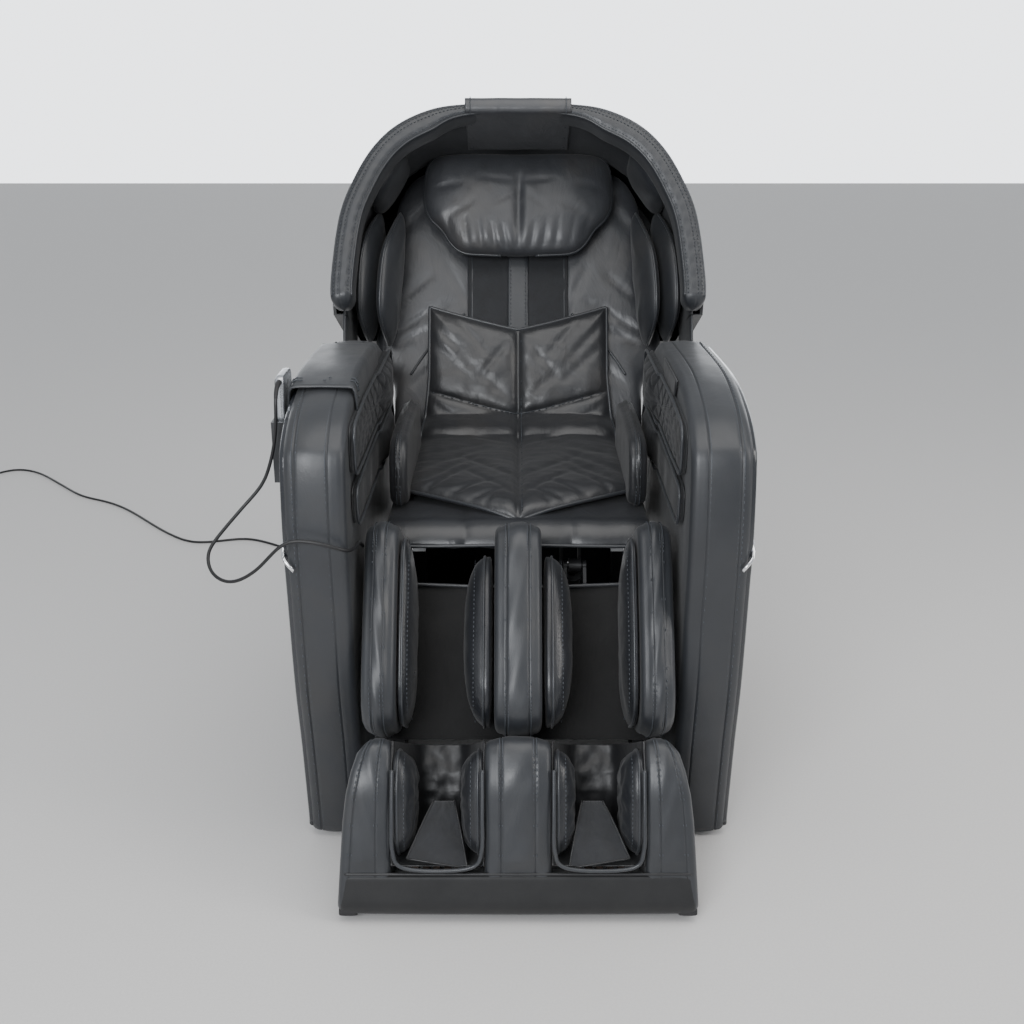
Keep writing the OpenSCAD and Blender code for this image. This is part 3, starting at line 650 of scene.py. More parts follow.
def handset():
    def plate(name, line, x0, x1, mat, edge, crown, n, slot, replaces=()):
        band(name, line, x0, x1, in_row, mat, "handset_unit", replaces, edge=edge, crown=crown, n=n,
             slot=slot)

    def oblong(y0, z0, y1, z1, d):
        return rounded([(y0, z0), (y0, z1), (y1, z1), (y1, z0)], d)

    plate("handset_frame", oblong(-363, 637, -287, 798, 12), -384, -371, SILVER, 3, 0.3, 100, "chrome_trim",
          ["handset"])
    plate("handset_face", oblong(-358, 642, -292, 793, 9), -386.0, -383.2, GLASS, 0.9, 0.1, 80, "glossy")
    plate("handset_screen", oblong(-351, 730, -299, 786, 4), -386.6, -385.8, SIDE, 0.3, 0.02, 60, "glossy")
    ang = np.arange(20) * math.pi / 10
    for k in range(9):
        y, z = -344 + k % 3 * 19, 716 - k // 3 * 22
        key = np.stack([y + 6.2 * np.cos(ang), z + 4.6 * np.sin(ang)], 1)
        plate(f"handset_key_{k + 1}", key, -387.2, -385.6, RUBBER, 0.6, 0.15, 24, "rubber")


# ---- seat ----
def seat():
    def bow(r, start, end, n):
        return [(-235 + r * math.sin(a), 465 + r * math.cos(a))
                for a in np.radians(np.linspace(start, end, n))]

    line = [(164, 520)] + bow(54, 0, -72, 12) + bow(33, -68, -6, 8) + [(-190, 486), (164, 486)]
    band("seat_cover", line, -228, 228, in_row, LEATHER_GLOSS, "seat", ["seat_cushion"], edge=7, crown=2,
         seams=(-0.42, 0.42), groove=2.0, n=180, centre=(-226, 506), fill=0.8,
         relief=lambda x, p, v: 1.5 * np.sin(x / 13.0 + p[:, 1] / 21.0) * (np.abs(p[:, 0] + 235) < 70))
    x = np.linspace(-222, 222, 60)
    tube("seat_cover_piping", in_row(x, -287.5, 484 + 1.5 * np.cos(x / 90)), 0.0030, PIPING, "seat")


LEAN = (0.41716, 0.90884)  # the back's own direction, rearward and up
PAD_SEAT = [(-243, 515), (-232, 524), (-210, 531), (-150, 536), (-40, 538), (60, 538), (120, 540),
            (150, 546), (172, 561)]
PAD_BACK = [(165, 61), (200, 60), (260, 60), (330, 60), (400, 59), (440, 58)]
# Each fold: from and to (share of the way across, distance along the pad), depth, width.
PAD_FOLDS = (
    ((0.98, 40), (0.45, 190), 4.2, 6), ((0.96, 95), (0.40, 250), 3.4, 7), ((0.80, 30), (0.25, 120), 4.0, 6),
    ((0.60, 20), (0.12, 80), 3.4, 5), ((0.95, 170), (0.35, 300), 3.0, 8), ((0.05, 140), (0.60, 260), 3.0, 7),
    ((0.04, 60), (0.50, 170), 3.2, 6), ((0.98, 260), (0.30, 330), 2.2, 9),
    ((0.04, 330), (0.55, 380), 2.2, 7), ((0.95, 640), (0.55, 560), 3.2, 7),
    ((0.97, 600), (0.40, 500), 2.4, 8), ((0.05, 470), (0.60, 560), 2.6, 8),
    ((0.70, 650), (0.30, 560), 2.8, 6), ((0.98, 480), (0.65, 440), 2.4, 6),
    ((0.10, 590), (0.40, 520), 2.6, 6), ((0.90, 12), (0.55, 60), 3.8, 5), ((0.35, 10), (0.20, 60), 3.0, 4))


def quilted_pad():
    """The loose four-panel pad: piped edges, a centre seam, a chevron seam over the back, creased corners."""
    back = [(200 + LEAN[0] * w - LEAN[1] * h, 400 + LEAN[1] * w + LEAN[0] * h) for w, h in PAD_BACK]
    prof = even(spline(np.array(PAD_SEAT + back), 10), 900)
    arc = np.concatenate([[0], np.cumsum(np.linalg.norm(np.diff(prof, axis=0), axis=1))])
    nrm = across(prof)

    def up_at(w):
        up = (prof[:, 0] - PIVOT[1] * 1000) * LEAN[0] + (prof[:, 1] - PIVOT[2] * 1000) * LEAN[1]
        return arc[np.argmin(np.abs(up - w) + 1e3 * (prof[:, 1] < 560))]

    top_side, top_mid, mid_side, mid_mid = map(up_at, (403, 355, 224, 176))
    front_side = arc[np.argmin(np.abs(prof[:, 0] + 140))]
    nx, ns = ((121, 220))
    f = np.linspace(-1, 1, nx)[None, :]
    r = np.linspace(0, 1, ns)[:, None]
    dip = np.abs(f) ** 1.15
    s0 = front_side * dip
    s2 = top_mid + (top_side - top_mid) * dip
    s = s0 + (s2 - s0) * r
    sm = mid_mid + (mid_side - mid_mid) * dip
    half = 204 + 3 * np.sin(np.clip(s / 520, 0, 1) * math.pi) - 19 * np.clip((s - 330) / 230, 0, 1)
    x = f * half
    edge = np.maximum(np.minimum(np.minimum(half - np.abs(x), s - s0), s2 - s), 0)
    to_mid, to_cross = np.abs(x), np.abs(s - sm)
    puff = 17 * (1 - np.exp(-edge / 15))
    puff = puff * (1 - 0.80 * np.exp(-to_mid / 9)) * (1 - 0.62 * np.exp(-to_cross / 9))
    scale = float(top_side) / 660.0
    folds = creases(x, s, [((side * a0 * 200, b0 * scale), (side * a1 * 200, b1 * scale), depth, width)
                           for side in (-1, 1) for (a0, b0), (a1, b1), depth, width in PAD_FOLDS])
    fine = lumps(x * 0.4 + s * 0.5, s, 14, 0.5, 9.0)
    folds += lumps(x, s, 75, 2.6, 1.0) + lumps(x, s, 26, 1.1, 5.0) + fine
    lift = puff + folds * np.clip(edge / 24, 0, 1) * np.clip(to_mid / 14 + 0.15, 0, 1)
    y0, z0 = np.interp(s, arc, prof[:, 0]), np.interp(s, arc, prof[:, 1])
    ny, nz = np.interp(s, arc, nrm[:, 0]), np.interp(s, arc, nrm[:, 1])
    if nz[ns // 4, 0] < 0:
        ny, nz = -ny, -nz
    top = in_row(x, y0 + ny * lift, z0 + nz * lift)
    sag = 9 * (1 - np.exp(-edge / 8))
    low = in_row(x, y0 - ny * sag, z0 - nz * sag)
    faces = quads(ns, nx) + [q[::-1] for q in quads(ns, nx, start=nx * ns)]
    pad = piece("quilted_pad", np.vstack([top.reshape(-1, 3), low.reshape(-1, 3)]), faces, LEATHER_PAD, None,
                ["seat_pad", "back_pad"], fill=0.5)
    rim_line = np.vstack([top[0], top[1:, -1], top[-1, -2::-1], top[-2:0:-1, 0]])
    pipe = tube("quilted_pad_piping", even(rim_line, 420, closed=True), 0.0034, PIPING, None, closed=True)
    out = np.stack([0 * ny, ny, nz], 2)
    cols = np.arange(3, nx - 3)
    rows = np.argmin(to_cross, axis=0)[cols]
    beside = (slice(4, -4), nx // 2 + 2)
    sew = stitches("quilted_pad_stitching", seam_rows([(top[rows, cols], out[rows, cols])], (0,), 0.0012) +
                   seam_rows([(top[beside], out[beside])], (0,), 0.001), None)
    start, end = (0, 0.06, 0.54), tuple(on_back(0, 235, 62))
    for ob in (pad, pipe, sew):
        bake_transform(ob)
        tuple(start)
        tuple(end)


# ---- back ----
HOOD = [(359, 340), (361, 400), (347, 520), (320, 595), (283, 659), (235, 705), (170, 735), (97, 744),
        (0, 747)]
LINING = [(335, 250), (335, 400), (325, 520), (300, 590), (266, 648), (222, 692), (160, 720), (0, 731)]
HOOD_MID = np.array([0, 450.0])
RIM_BACK, RIM_FACE = 232.0, 296.0
RIBS = (0.20, 0.36, 0.80)  # shares of the rim's width
LINING_SEAMS = (0.12, 0.27, 0.415, 0.585, 0.73, 0.88)  # shares of the way round


def arch(half, n):
    """An arch through a half's points and their mirror image, with its normals into the hood."""
    right = spline(half, 8)
    p = even(np.vstack([right, (right * [-1, 1])[-2::-1]]), n)
    nrm = across(p)
    return p, nrm * np.sign(np.sum((HOOD_MID - p) * nrm, axis=1))[:, None]


def rim():
    """The padded rim of the hood: a rolled section, thinner over the top, with sewn ribs along its face."""
    n, m = 300, 48
    p, inner = arch(HOOD, n)
    p = p + inner
    s = np.linspace(0, 1, n)
    wide = 46 - 25 * np.exp(-((s - 0.5) / 0.12) ** 6)
    cap = np.sqrt(np.clip(1 - (1 - np.clip(np.minimum(s, 1 - s) / 0.022, 0, 1)) ** 2, 0, 1))
    cap = np.maximum(cap, 0.02)

    def lengthwise(share, h, keep=slice(None)):
        return on_back(*(p + inner * (wide * share)[:, None])[keep].T, h)

    verts = []
    for a in np.linspace(0, 1, m, endpoint=False) * 2 * math.pi:
        ca, sa = math.cos(a), math.sin(a)
        r = 0.5 * (ca ** 4 + sa ** 4) ** -0.25
        q, up = 0.5 - ca * r, 0.5 + sa * r
        h = RIM_BACK + (RIM_FACE - RIM_BACK) * (0.5 + (up - 0.5) * cap)
        if up > 0.9:
            h = h + 0.28 * np.sin(s * 300 + q * 5)
            h = h - 1.6 * sum(math.exp(-((q - g) / 0.045) ** 2) for g in RIBS) * cap
        verts.append(lengthwise(0.5 + (q - 0.5) * cap, h))
    faces = quads(m, n, wrap_rows=True)
    faces += [[k * n for k in range(m)], [k * n + n - 1 for k in range(m)][::-1]]
    piece("hood_rim_pad", np.stack(verts), faces, LEATHER, "back", ["hood_rim"], fill=0.8)
    up = np.repeat(OUT[None, :], n - 12, 0)
    rows = [(lengthwise(g, RIM_FACE - 1.0, slice(6, n - 6)), up) for g in RIBS]
    stitches("hood_rim_stitching", rows, "back", **FINE)
    for g, name in ((0.10, "outer"), (0.92, "inner")):
        tube(f"hood_rim_piping_{name}", lengthwise(g, RIM_FACE - 5.0, slice(5, n - 5)), 0.0022, PIPING,
             "back")


def lining():
    """The hood's padded inner wall, sewn in panels that bulge a little between seams."""
    n, low, high = 260, 52, 236
    p, inner = arch(LINING, n)
    s = np.linspace(0, 1, n)
    bulge = 3.2 * (1 - np.exp(-np.min([np.abs(s - g) for g in LINING_SEAMS], axis=0) / 0.012))
    rows, outer = [], []
    for h in np.linspace(low, high, 26):
        e = math.sin(math.pi * (h - low) / (high - low)) ** 0.4 if low < h < high else 0
        rows.append(on_back(*(p + inner * (bulge * e - 1.0)[:, None]).T, h))
        outer.append(on_back(*(p - inner * 5.0).T, h))
    two_sided("hood_lining_pad", np.stack(rows), np.stack(outer), LEATHER, "back", ["hood_lining"])


def back_covers():
    outline = [(95, 126), (259, 134), (259.5, 252), (297, 292), (302, 345), (284, 376), (258, 430),
               (261, 552), (258, 634), (226, 690), (160, 718), (95, 722)]
    folds = (((250, 330), (150, 372), 4.5, 5), ((262, 352), (140, 420), 3.6, 6),
             ((110, 300), (200, 345), 3.0, 6), ((225, 240), (150, 300), 4.0, 6),
             ((100, 400), (150, 500), 2.4, 8), ((250, 420), (180, 480), 2.2, 8),
             ((250, 560), (180, 640), 1.8, 9), ((110, 640), (180, 560), 1.8, 9))
    for name, s in SIDES:
        cushion("back_cover_" + name, rounded(outline, 26), 21, 46, facing(s), LEATHER_PAINTED_LIGHT, "back",
                ["back_cushion"], power=9, n=240, rings=44, centre=(175, 470), fill=0.6,
                relief=lambda a, b, f: fade(f, 8) * (lumps(a, b, 95, 1.6, 2.0 + s) +
                                                     lumps(a, b, 34, 0.4, 7.0) + creases(a, b, folds)))
        strip = spline([(225, 262), (200, 300), (160, 352), (112, 392)], 10)
        tube("back_cover_piping_" + name, facing(s)(strip, 47.2), 0.0026, PIPING, "back")
        inner = np.array([(97, 170 + 540 * k / 40) for k in range(41)], float)
        tube("back_cover_edge_" + name, facing(s)(inner, 44.5), 0.0026, PIPING, "back")


def spine_cover():
    x = np.linspace(-104, 104, 41)[None, :]
    w = np.linspace(160, 698, 120)[:, None]
    h = 45.5 + lumps(x + 0 * w, w + 0 * x, 48, 1.6, 11.0) - 1.6 * np.cos(x / 104 * math.pi / 2)
    cloth = two_sided("spine_cloth", on_back(x, w, h + 1.1), on_back(x, w, h - 1.1), FABRIC, "back",
                      ["spine_fabric"], "fabric")
    cushion("spine_strip", rounded([(-23, 170), (-21, 690), (21, 690), (23, 170)], 6), 45.2, 49.6, facing(),
            LEATHER, "back", power=7, n=180, rings=16, centre=(0, 430), fill=0.3,
            relief=lambda a, b, f: lumps(a, b, 40, 0.5, 4.0) * fade(f, 8))
    up = np.repeat(OUT[None, :], 80, 0)
    rows = [(on_back(x, np.linspace(176, 686, 80), 50.0), up) for x in (-15.5, 15.5)]
    stitches("spine_strip_stitching", rows, "back")


PILLOW_HALF = [(0, 722), (70, 724), (130, 723), (170, 716), (190, 694), (196, 655), (196, 615), (184, 585),
               (160, 560), (138, 528), (112, 511), (60, 507), (0, 505)]
# Gathers along the pillow's foot: across at the edge and at their tip, depth.
PILLOW_GATHERS = ((-100, -112, 3.2), (-72, -84, 3.6), (-44, -58, 4.2), (-20, -34, 4.0), (22, 34, 4.0),
                  (46, 60, 4.2), (74, 84, 3.4), (102, 118, 3.0), (126, 150, 2.8), (-126, -150, 2.8))
PILLOW_FOLDS = (((0, 640), (60, 600)), ((0, 640), (-58, 604)), ((4, 655), (80, 660)),
                ((-4, 655), (-84, 664)), ((186, 640), (120, 650)), ((-186, 640), (-120, 652)),
                ((150, 580), (90, 610)), ((-150, 580), (-92, 612)), ((60, 720), (70, 680)),
                ((-60, 720), (-74, 682)), ((110, 716), (120, 690)), ((-120, 716), (-128, 690)))


def pillow():
    """The stuffed head pillow: puckered down its middle, gathered at its foot, piped down the sides."""
    line = spline(PILLOW_HALF + [(-a, b) for a, b in PILLOW_HALF[-2:0:-1]], 6, closed=True)
    rows = [((0, 505), (2, 660), 9.0, 6.5), ((0, 560), (1, 700), 4.0, 9)]
    rows += [((x0, 500), (x1, 562 + abs(x0) * 0.2), depth, 4.5) for x0, x1, depth in PILLOW_GATHERS]
    rows += [(p, q, 2.0, 6) for p, q in PILLOW_FOLDS]
    cushion("pillow_cover", line, 54, 119, facing(), LEATHER_PAINTED_LIGHT, "pillow", ["head_pillow"],
            centre=(0, 612), power=3.4, back=0.42, n=300, rings=54, fill=0.75,
            relief=lambda a, b, f: fade(f, 6) * (0.66 * creases(a, b, rows) + lumps(a, b, 80, 2.0, 6.0) +
                                                 lumps(a, b, 26, 0.5, 8.0)))
    sides = spline(PILLOW_HALF, 8)
    keep = sides[(sides[:, 1] < 715) & (sides[:, 1] > 506)]
    for name, s in SIDES:
        tube("pillow_piping_" + name, on_back(s * keep[:, 0] * 0.992, keep[:, 1], 84.5), 0.0032, PIPING,
             "pillow")


def flap():
    """The leather flap that carries the pillow: along the hood's roof, round the rim and over its top."""
    line = [(112, 723.6), (150, 723.2), (200, 723.2), (240, 723.4), (288, 724), (297.5, 727), (300.5, 734),
            (300.5, 744), (297.5, 750), (289, 752.2), (240, 752.2), (190, 752), (152, 751.6)]
    n = 110
    c = even(spline(line, 6), n)
    nrm = across(c)
    if nrm[5, 1] > 0:
        nrm = -nrm
    x = np.repeat(np.linspace(-103, 103, 61)[None, :], n, 0)
    wave = 0.8 * lumps(x, np.repeat(np.arange(n)[:, None] * 4.0, 61, 1), 46, 0.9, 12.0)
    top, low = (on_back(x, c[:, 1:] + nrm[:, 1:] * h, c[:, :1] + nrm[:, :1] * h) for h in (1.3 + wave, -1.0))
    two_sided("pillow_flap_leather", top, low, LEATHER_PAINTED_LIGHT, "back", ["pillow_flap"])
    rows = []
    for col in (3, 57):
        pts = top[4:-3, col]
        out = np.cross(np.gradient(pts, axis=0), np.array([1.0, 0, 0]))
        out /= np.linalg.norm(out, axis=1)[:, None]
        if out[10] @ UP > 0:
            out = -out
        rows.append((pts, out))
    stitches("pillow_flap_stitching", seam_rows(rows, (0,), 0.0006), "back", pitch=0.0075, length=0.005,
             r=0.0008)


def leaves():
    """Upright leaf-shaped air cushions, two at each shoulder, piped along their front edges."""
    for name, s in SIDES:
        for k, (x0, w0, x1, w1, thick) in enumerate(((290, 592, 309, 322, 21), (246, 590, 268, 314, 19))):
            a = np.array([x0 - x1, w0 - w1], float)
            length = np.linalg.norm(a)
            a /= length
            side = np.array([a[1], -a[0]])
            line = spline([(4, 70), (8, 140), (40, 186), (100, 202), (170, 196), (225, 160),
                           (length - 2, 104), (length - 10, 78), (180, 58), (60, 56)], 8, closed=True)

            def place(q, c):
                rise = (q[..., 1] - 56) / 150
                lean = c - 7.0 * np.sin(rise * math.pi) + 14 * rise
                return on_back(s * (x1 + a[0] * q[..., 0] + side[0] * lean),
                               w1 + a[1] * q[..., 0] + side[1] * c, q[..., 1])

            def relief(p, q, f):
                return fade(f, 5) * (lumps(p, q, 40, 1.6, 3.0 + k + s) +
                                     crease(p, q, (10, 90), (90, 160), 2.6, 7) +
                                     crease(p, q, (240, 110), (170, 160), 2.4, 7))

            cushion(f"shoulder_leaf_{k + 1}_{name}", line, thick, -thick, place, LEATHER, "back",
                    ["shoulder_airbags_" + name], centre=(130, 128), power=2.4, back=0.5, n=160,
                    relief=relief, fill=0.5)
            edge = even(line, 120, closed=True)
            front = edge[edge[:, 1] > 92]
            front = front[np.argsort(front[:, 0])] * [1.0, 1.004]
            tube(f"shoulder_piping_{k + 1}_{name}", place(front, np.zeros(len(front))), 0.0026, PIPING,
                 "back")


def wing_cushions():
    line = rounded([(-60, 84), (-60, 222), (60, 228), (60, 84)], 44, 8)
    lean = math.radians(32)
    a = np.array([-math.sin(lean), math.cos(lean)])
    side = np.array([a[1], -a[0]])
    for name, s in SIDES:
        cushion("wing_cushion_" + name, line, 14, -14,
                lambda q, c: on_back(s * (258 + a[0] * q[..., 0] + side[0] * c),
                                     634 + a[1] * q[..., 0] + side[1] * c, q[..., 1]),
                LEATHER, "back", ["wing_pads"], power=4, back=0.3, n=120, fill=0.7,
                relief=lambda p, q, f: -lumps(p, q, 45, 1.2, 9.0 + s) * fade(f, 5))


# ---- leg rest ----
# The rounding keeps the rolls clear of the seat's nose as the leg rest lifts.
KNEE_ROUND = [(77, 42), (62, 63), (44, 77), (20, 87)]
CALF_ROLL = [(0, 90), (0, 130), (2, 170), (26, 204), (150, 210), (280, 208), (326, 186), (340, 130),
             (338, 42)]
CALF_MIDDLE = [(0, 90), (0, 120), (2, 162), (26, 200), (150, 206), (290, 205), (330, 184), (340, 130),
               (338, 42)]
CALF_BAGS = (
    ("outer", 193, 166, [(78, 52), (34, 92), (20, 150), (40, 192), (180, 197), (290, 188), (326, 150),
                         (328, 52)]),
    ("inner", 41, 90, [(78, 52), (50, 96), (46, 130), (90, 168), (190, 186), (280, 192), (326, 160),
                       (330, 52)]))
CUFF = [(372, 70), (366, 180), (384, 208), (430, 212), (510, 188), (530, 150), (520, 70)]
FOOT_SIDE = [(352, 60), (352, 196), (362, 214), (400, 219), (430, 217), (520, 190), (604, 160), (616, 144),
             (600, 120), (560, 60), (530, 22), (352, 22)]
FOOT_BAND = [(553, 60), (557, 176.8), (604, 161), (617, 147), (617, 132), (600, 108)]
FOOT_BAND_TOP = 0.548  # metres down the leg rest
WELL_MID = 128.5


def airbag(kind, part, outline, x0, x1, s, stands, body, relief, low, eye, hub, pipe, sew, points, **form):
    """A soft cushion beside a roll, piped and stitched along its front.

    low, eye and hub pick and order the front's points. pipe is (share across, stretch, radius) and sew is
    (share across, shrink, pitch)."""
    place = sideways(on_leg, s)
    cushion(f"{kind}_{part}", outline, x0, x1, place, LEATHER_GLOSS, body, [stands], power=3.2, fill=0.5,
            relief=lambda a, b, f: np.sign(x1 - x0) * relief(a, b) * fade(f, 6), **form)
    e = even(outline, points, closed=True)
    front = e[e[:, 1] > low]
    front = front[np.argsort(np.arctan2(front[:, 1] - eye[1], front[:, 0] - eye[0]))]
    count = len(front)
    share, stretch, radius = pipe
    tube(f"{kind}_piping_{part}", place(front * [1.0, stretch], np.full(count, x0 + (x1 - x0) * share)),
         radius, PIPING, body)
    share, shrink, pitch = sew
    row = place((front - hub) * shrink + hub + [0, 3.5], np.full(count, x0 + (x1 - x0) * share))
    stitches(f"{kind}_stitching_{part}", [(row, np.repeat(FRONT[None, :], count, 0))], body, pitch=pitch,
             length=0.0045, r=0.0008)


def roll(name, outline, d, x0, x1, crown, seams, ripple, replaces):
    """A long padded roll of the leg rest and the stitch rows beside its seams."""
    lines = band(name, rounded(KNEE_ROUND + outline, d), x0, x1, on_leg, LEATHER, "leg", [replaces], edge=11,
                 crown=crown, seams=seams, groove=1.5, n=200, fill=0.8,
                 relief=lambda x, p, v: 0.8 * np.sin(p[:, 0] / ripple + 4 * v) * (1 - v * v))
    return seam_rows(lines.values(), (-2.6, 2.6), 0.001, 195)


def calf():
    for name, s in SIDES:
        rows = roll("calf_roll_" + name, CALF_ROLL, 36, s * 194, s * 248, 6, (-0.42, 0.62), 15.0,
                    "calf_pillar_" + name)
        stitches("calf_roll_stitching_" + name, rows, "leg", **FINE)
        for part, x0, x1, line in CALF_BAGS:
            airbag("calf_airbag", f"{part}_{name}", rounded(line, 34), x0, x1, s, "calf_airbags", "leg",
                   lambda a, b: lumps(a, b, 34, 1.5, 5.0 + s) - 1.0, 70, (175, 100), [175, 110],
                   (0.30, 1.006, 0.0022), (0.62, 0.955, 0.0075), 160, back=0.12, n=180, rings=24,
                   centre=(180, 115))
    rows = roll("calf_middle_roll", CALF_MIDDLE, 34, -38, 38, 7, (-0.66, 0.66), 17.0, "calf_centre")
    stitches("calf_middle_stitching", rows, "leg", **FINE)
    x = np.linspace(-242, 242, 91)[None, :]
    u = np.linspace(82, 346, 60)[:, None]
    a, b = x + 0 * u, u + 0 * x
    dips = [((s * 150, 110), (s * 100, 330), 3, 9) for s in (-1, 1)]
    v = 33 + lumps(a, b, 50, 3.0, 13.0) + creases(a, b, dips)
    two_sided("calf_backing", on_leg(x, u, v + 1.4), on_leg(x, u, v - 1.4), WELL, "leg", ["calf_centre"],
              "fabric")
    xs = np.linspace(-236, 236, 80)
    tube("calf_backing_piping", on_leg(xs, 83 + 3 * np.cos(xs / 75.0), 38), 0.0032, PIPING, "leg")


def half_foot(u):
    return np.interp(u, (352, 372, 400, 440, 480, 616), (238, 250, 258, 266, 271, 281))


def foot_block(name, x0, x1, seams, **form):
    """A leather-covered block of the foot unit, tucked under the lower band, and its stitch rows."""
    crown = form["crown"]

    def crinkle(x, p, v):
        tuck = np.clip((p[:, 0] - 536) / 16, 0, 1) * (p[:, 1] > 90)
        free = 0.6 * np.sin(p[:, 0] / 12.0 + 5 * v) * (1 - v * v) * (1 - tuck)
        return free - (crown + 1) * (1 - v * v) * tuck

    lines = band(name, rounded(FOOT_SIDE, 16), x0, x1, on_leg, LEATHER, "foot", ["foot_housing"],
                 seams=seams, groove=1.6, n=240, centre=(470, 110), fill=0.7, relief=crinkle, **form)
    return seam_rows(lines.values(), (-2.4, 2.4), 0.001)


def foot():
    """The foot unit: a leather-covered body with two wells, lipped with crinkled cuffs, and a lower band."""
    rows = []
    for name, s in SIDES:
        ends = half_foot(even(rounded(FOOT_SIDE, 16), 240, closed=True)[:, 0])
        rows += foot_block("foot_side_" + name, s * 197.0, s * ends, (-0.55, 0.80), edge=10.0, crown=3.0)
    rows += foot_block("foot_middle", -52, 52, (-0.66, 0.66), edge=12, crown=6)
    rows = only(rows, lambda pts, nrm: (nrm @ FRONT > 0.2) & ((pts - KNEE) @ DOWN < FOOT_BAND_TOP))
    stitches("foot_stitching", rows, "foot", **FINE)

    low = rounded(FOOT_BAND, 10)
    ends = half_foot(even(low, 160, closed=True)[:, 0]) - 0.4
    band("foot_lower_band", low, -ends, ends, on_leg, LEATHER_BAND, "foot", edge=13, crown=1.5, n=160,
         fill=0.4)
    tube("foot_band_piping", on_leg(np.linspace(-268, 268, 120), 556, 176), 0.0022, LEATHER_PAINTED_SHADE, "foot")

    for name, s in SIDES:
        well(name, s)
        for part, x0, x1 in (("inner", 53, 90), ("outer", 196, 160)):
            airbag("foot_cuff", f"{part}_{name}", rounded(CUFF, 28), x0, x1, s, "foot_airbags", "foot",
                   lambda a, b: lumps(a, b, 16, 2.6, 3.0 + s) + lumps(a, b, 30, 1.6, 8.0), 90, (445, 120),
                   [445, 130], (0.25, 1.004, 0.0024), (0.55, 0.97, 0.007), 140, back=0.1, n=160, rings=22)
        loop = [(55, 400, 219), (55, 470, 209), (56, 520, 195), (70, 545, 185), (126, 551, 182),
                (180, 545, 185), (193, 520, 195), (194, 470, 209), (194, 400, 219)]
        q = even(spline(loop, 10) * [s, 1, 1], 110)
        tube("foot_well_piping_" + name, on_leg(*q.T), 0.0032, PIPING, "foot")
        toe_flap(name, s)
        tab = rounded([(598, 128), (598, 150), (620, 146), (620, 130)], 4)
        band("foot_corner_tab_" + name, tab, s * 250, s * 279, on_leg, RUBBER, "foot", edge=3, crown=0.5,
             n=60, slot="rubber")


def well(name, s):
    """The lining of a foot well, open at its top, in the darker leather copy: painted shade down in the well.
    """
    a = np.linspace(-1, 1, 61)[None, :]
    b = np.linspace(0, 1, 90)[:, None]
    depth = 150 * (1 - np.abs(a) ** 5) * np.clip(np.sin((0.35 + 0.65 * b) * math.pi) * 2.2, 0, 1) ** 0.6
    u = 355 + 189 * b + 0 * a
    v = np.maximum(np.interp(u, (352, 400, 430, 520, 560), (206, 213, 211, 186, 170)) - depth, 42)
    x = s * (WELL_MID - 4 + a * (72 - 5 * np.clip(depth / 120, 0, 1)))
    v = v + (lumps(x, u, 18, 2.4, 15.0) + lumps(x, u, 42, 2.4, 16.0)) * 0.9
    two_sided("foot_well_lining_" + name, on_leg(x, u, v), on_leg(x, u, v - 2.2), LEATHER_PAINTED_SHADE, "foot")


def toe_flap(name, s):
    """A cloth flap hanging over the toes of a well."""
    a = np.linspace(-1, 1, 40)[None, :]
    b = np.linspace(0, 1, 44)[:, None]
    x = 126 + a * 47 * (0.34 + 0.66 * b ** 0.9) - 8 * (1 - b)
    u = 446 + 94 * b - 7 * a * b
    v = 136 + 32 * b ** 0.7 + 10 * (1 - a * a) * b - 3 * np.exp(-((a - 0.35) / 0.3) ** 2) * b + \
        lumps(a * 45 + 0 * b, u, 19, 3.4, 21.0 + s) + lumps(a * 45 + 0 * b, u, 9, 0.9, 4.0 + s)
    top = on_leg(s * x, u, v + 0.9)
    cloth = two_sided("toe_flap_" + name, top, on_leg(s * x, u, v - 0.9), FABRIC, "foot", (), "fabric")
    hem = np.vstack([top[:, 0], top[-1], top[::-1, -1]])
    tube("toe_flap_hem_" + name, even(hem, 90), 0.0016, LEATHER_PAINTED_SHADE, "foot")


# ---- build ----
def dress_rest():
    dress(PAINT, "base_frame", "seat_frame", "back_frame", "leg_frame", "leg_actuator_rod")
    dress(STEEL, "main_axle", "tilt_actuator_rod", "back_actuator_rod", "roller_head")
    dress(RUBBER, "floor_glides", "transport_wheel_left", "transport_wheel_right", "mains_plug")
    dress(SHELL, "base_rear_cover", "control_box", "air_pump", "power_rocker", "back_shell", "carriage",
          "tilt_actuator_body", "back_actuator_body", "leg_actuator_body", "foot_housing")
    dress(ROLLER, "rollers_upper", "rollers_lower", "foot_roller_left", "foot_roller_right")
    dress(PLY, "seat_pan")
    dress(LEATHER, "handset_pocket")


def main():
    dress_rest()
    make_cords()
    for name, s in SIDES:
        arm(name, s)
        forearm(name, s)
        bolster(name, s)
    saddle()
    inner_flap()
    handset()
    seat()
    quilted_pad()
    rim()
    lining()
    back_covers()
    spine_cover()
    pillow()
    flap()
    leaves()
    wing_cushions()
    calf()
    foot()


main()


# ---- room ----
FLOOR_HALF = 14.0
WALL_GLOW, AMBIENT = 2.5, 0.6


def floor_finish():
    m = material("pale_floor", (0.66, 0.65, 0.64), 0.6)
    link(m, ramp(m, noise_at(m, 240.0), [(0.3, (0.64, 0.63, 0.62)), (0.7, (0.68, 0.67, 0.66))]),
         m.node_tree.nodes["Principled BSDF"].inputs["Base Color"])
    return m


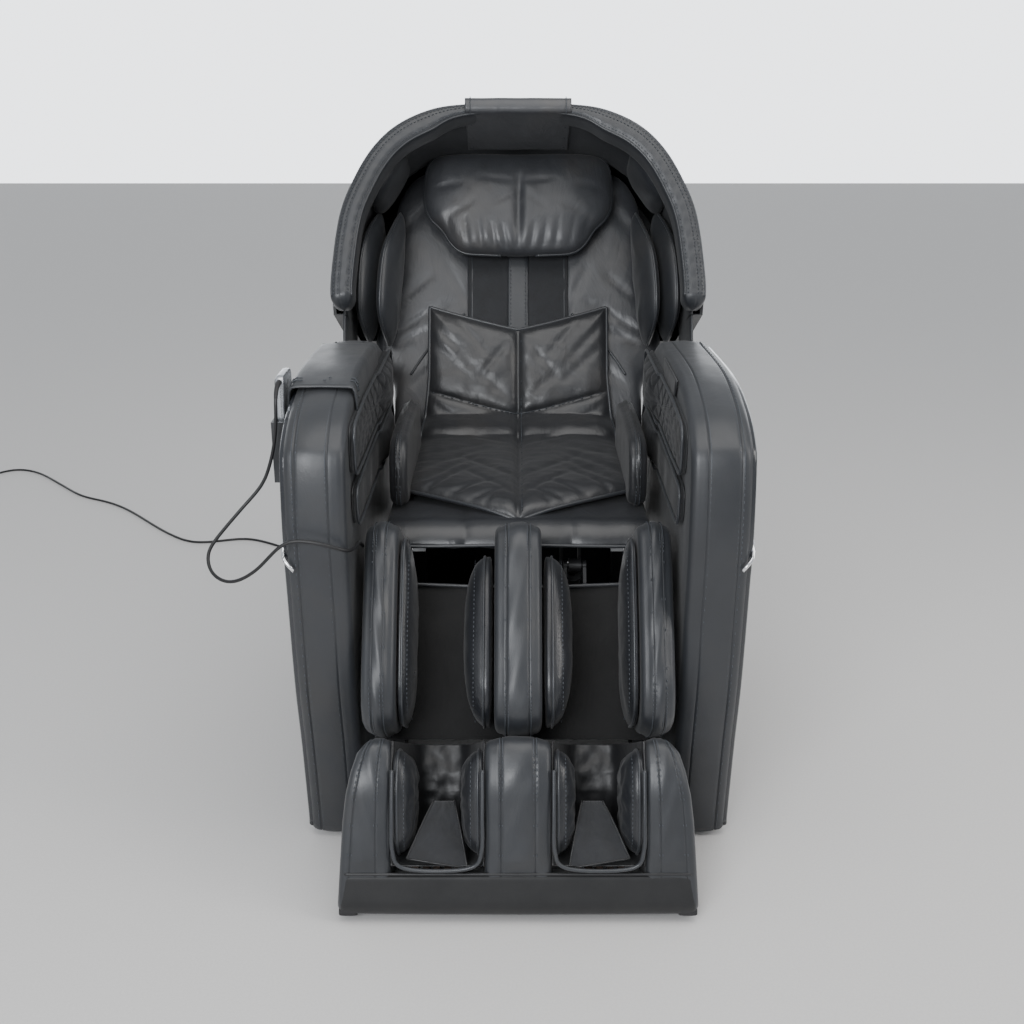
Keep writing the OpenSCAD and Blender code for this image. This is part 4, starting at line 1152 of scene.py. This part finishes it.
def room():
    me = bpy.data.meshes.new("floor")
    s = FLOOR_HALF
    me.from_pydata([(-s, -s, 0), (s, -s, 0), (s, s, 0), (-s, s, 0)], [], [(0, 1, 2, 3)])
    floor = bpy.data.objects.new("floor", me)
    bpy.context.scene.collection.objects.link(floor)
    floor.data.materials.append(floor_finish())


def lamp(name, at, aim, size, power, colour=(1, 1, 1)):
    d = bpy.data.lights.new(name, "AREA")
    d.shape = "RECTANGLE"
    d.size, d.size_y = size
    d.energy = power
    d.color = colour
    ob = bpy.data.objects.new(name, d)
    ob.location = at
    ob.rotation_euler = (Vector(aim) - Vector(at)).to_track_quat("-Z", "Y").to_euler()
    bpy.context.scene.collection.objects.link(ob)


def lights():
    world = bpy.data.worlds.new("world")
    world.use_nodes = True
    nt = world.node_tree
    sky = nt.nodes["Background"]
    sky.inputs["Color"].default_value = (0.93, 0.96, 1.0, 1)
    way = nt.nodes.new("ShaderNodeTexCoord")
    parts = nt.nodes.new("ShaderNodeSeparateXYZ")
    both = nt.nodes.new("ShaderNodeMath")
    both.operation = "MULTIPLY"
    total = nt.nodes.new("ShaderNodeMath")
    total.operation = "MULTIPLY_ADD"
    total.inputs[1].default_value = WALL_GLOW
    total.inputs[2].default_value = AMBIENT
    nt.links.new(way.outputs["Generated"], parts.inputs["Vector"])
    for k, (side, edges) in enumerate((("Y", (0.35, 0.85, 0.0, 1.0)), ("Z", (0.14, 0.34, 1.0, 0.0)))):
        fade = nt.nodes.new("ShaderNodeMapRange")
        for key, value in zip(("From Min", "From Max", "To Min", "To Max"), edges):
            fade.inputs[key].default_value = value
        nt.links.new(parts.outputs[side], fade.inputs["Value"])
        nt.links.new(fade.outputs["Result"], both.inputs[k])
    nt.links.new(both.outputs["Value"], total.inputs[0])
    nt.links.new(total.outputs["Value"], sky.inputs["Strength"])
    bpy.context.scene.world = world
    lamp("overhead", (0.3, -0.9, 3.2), (0, 0, 0.6), (3.0, 2.2), 50, (1.0, 0.98, 0.95))
    lamp("front", (-1.1, -3.4, 1.9), (0, 0, 0.7), (1.5, 1.3), 80, (0.95, 0.97, 1.0))
    lamp("right", (2.6, -1.4, 1.9), (0, 0, 0.5), (1.0, 1.6), 26, (1.0, 0.97, 0.93))


room()
lights()
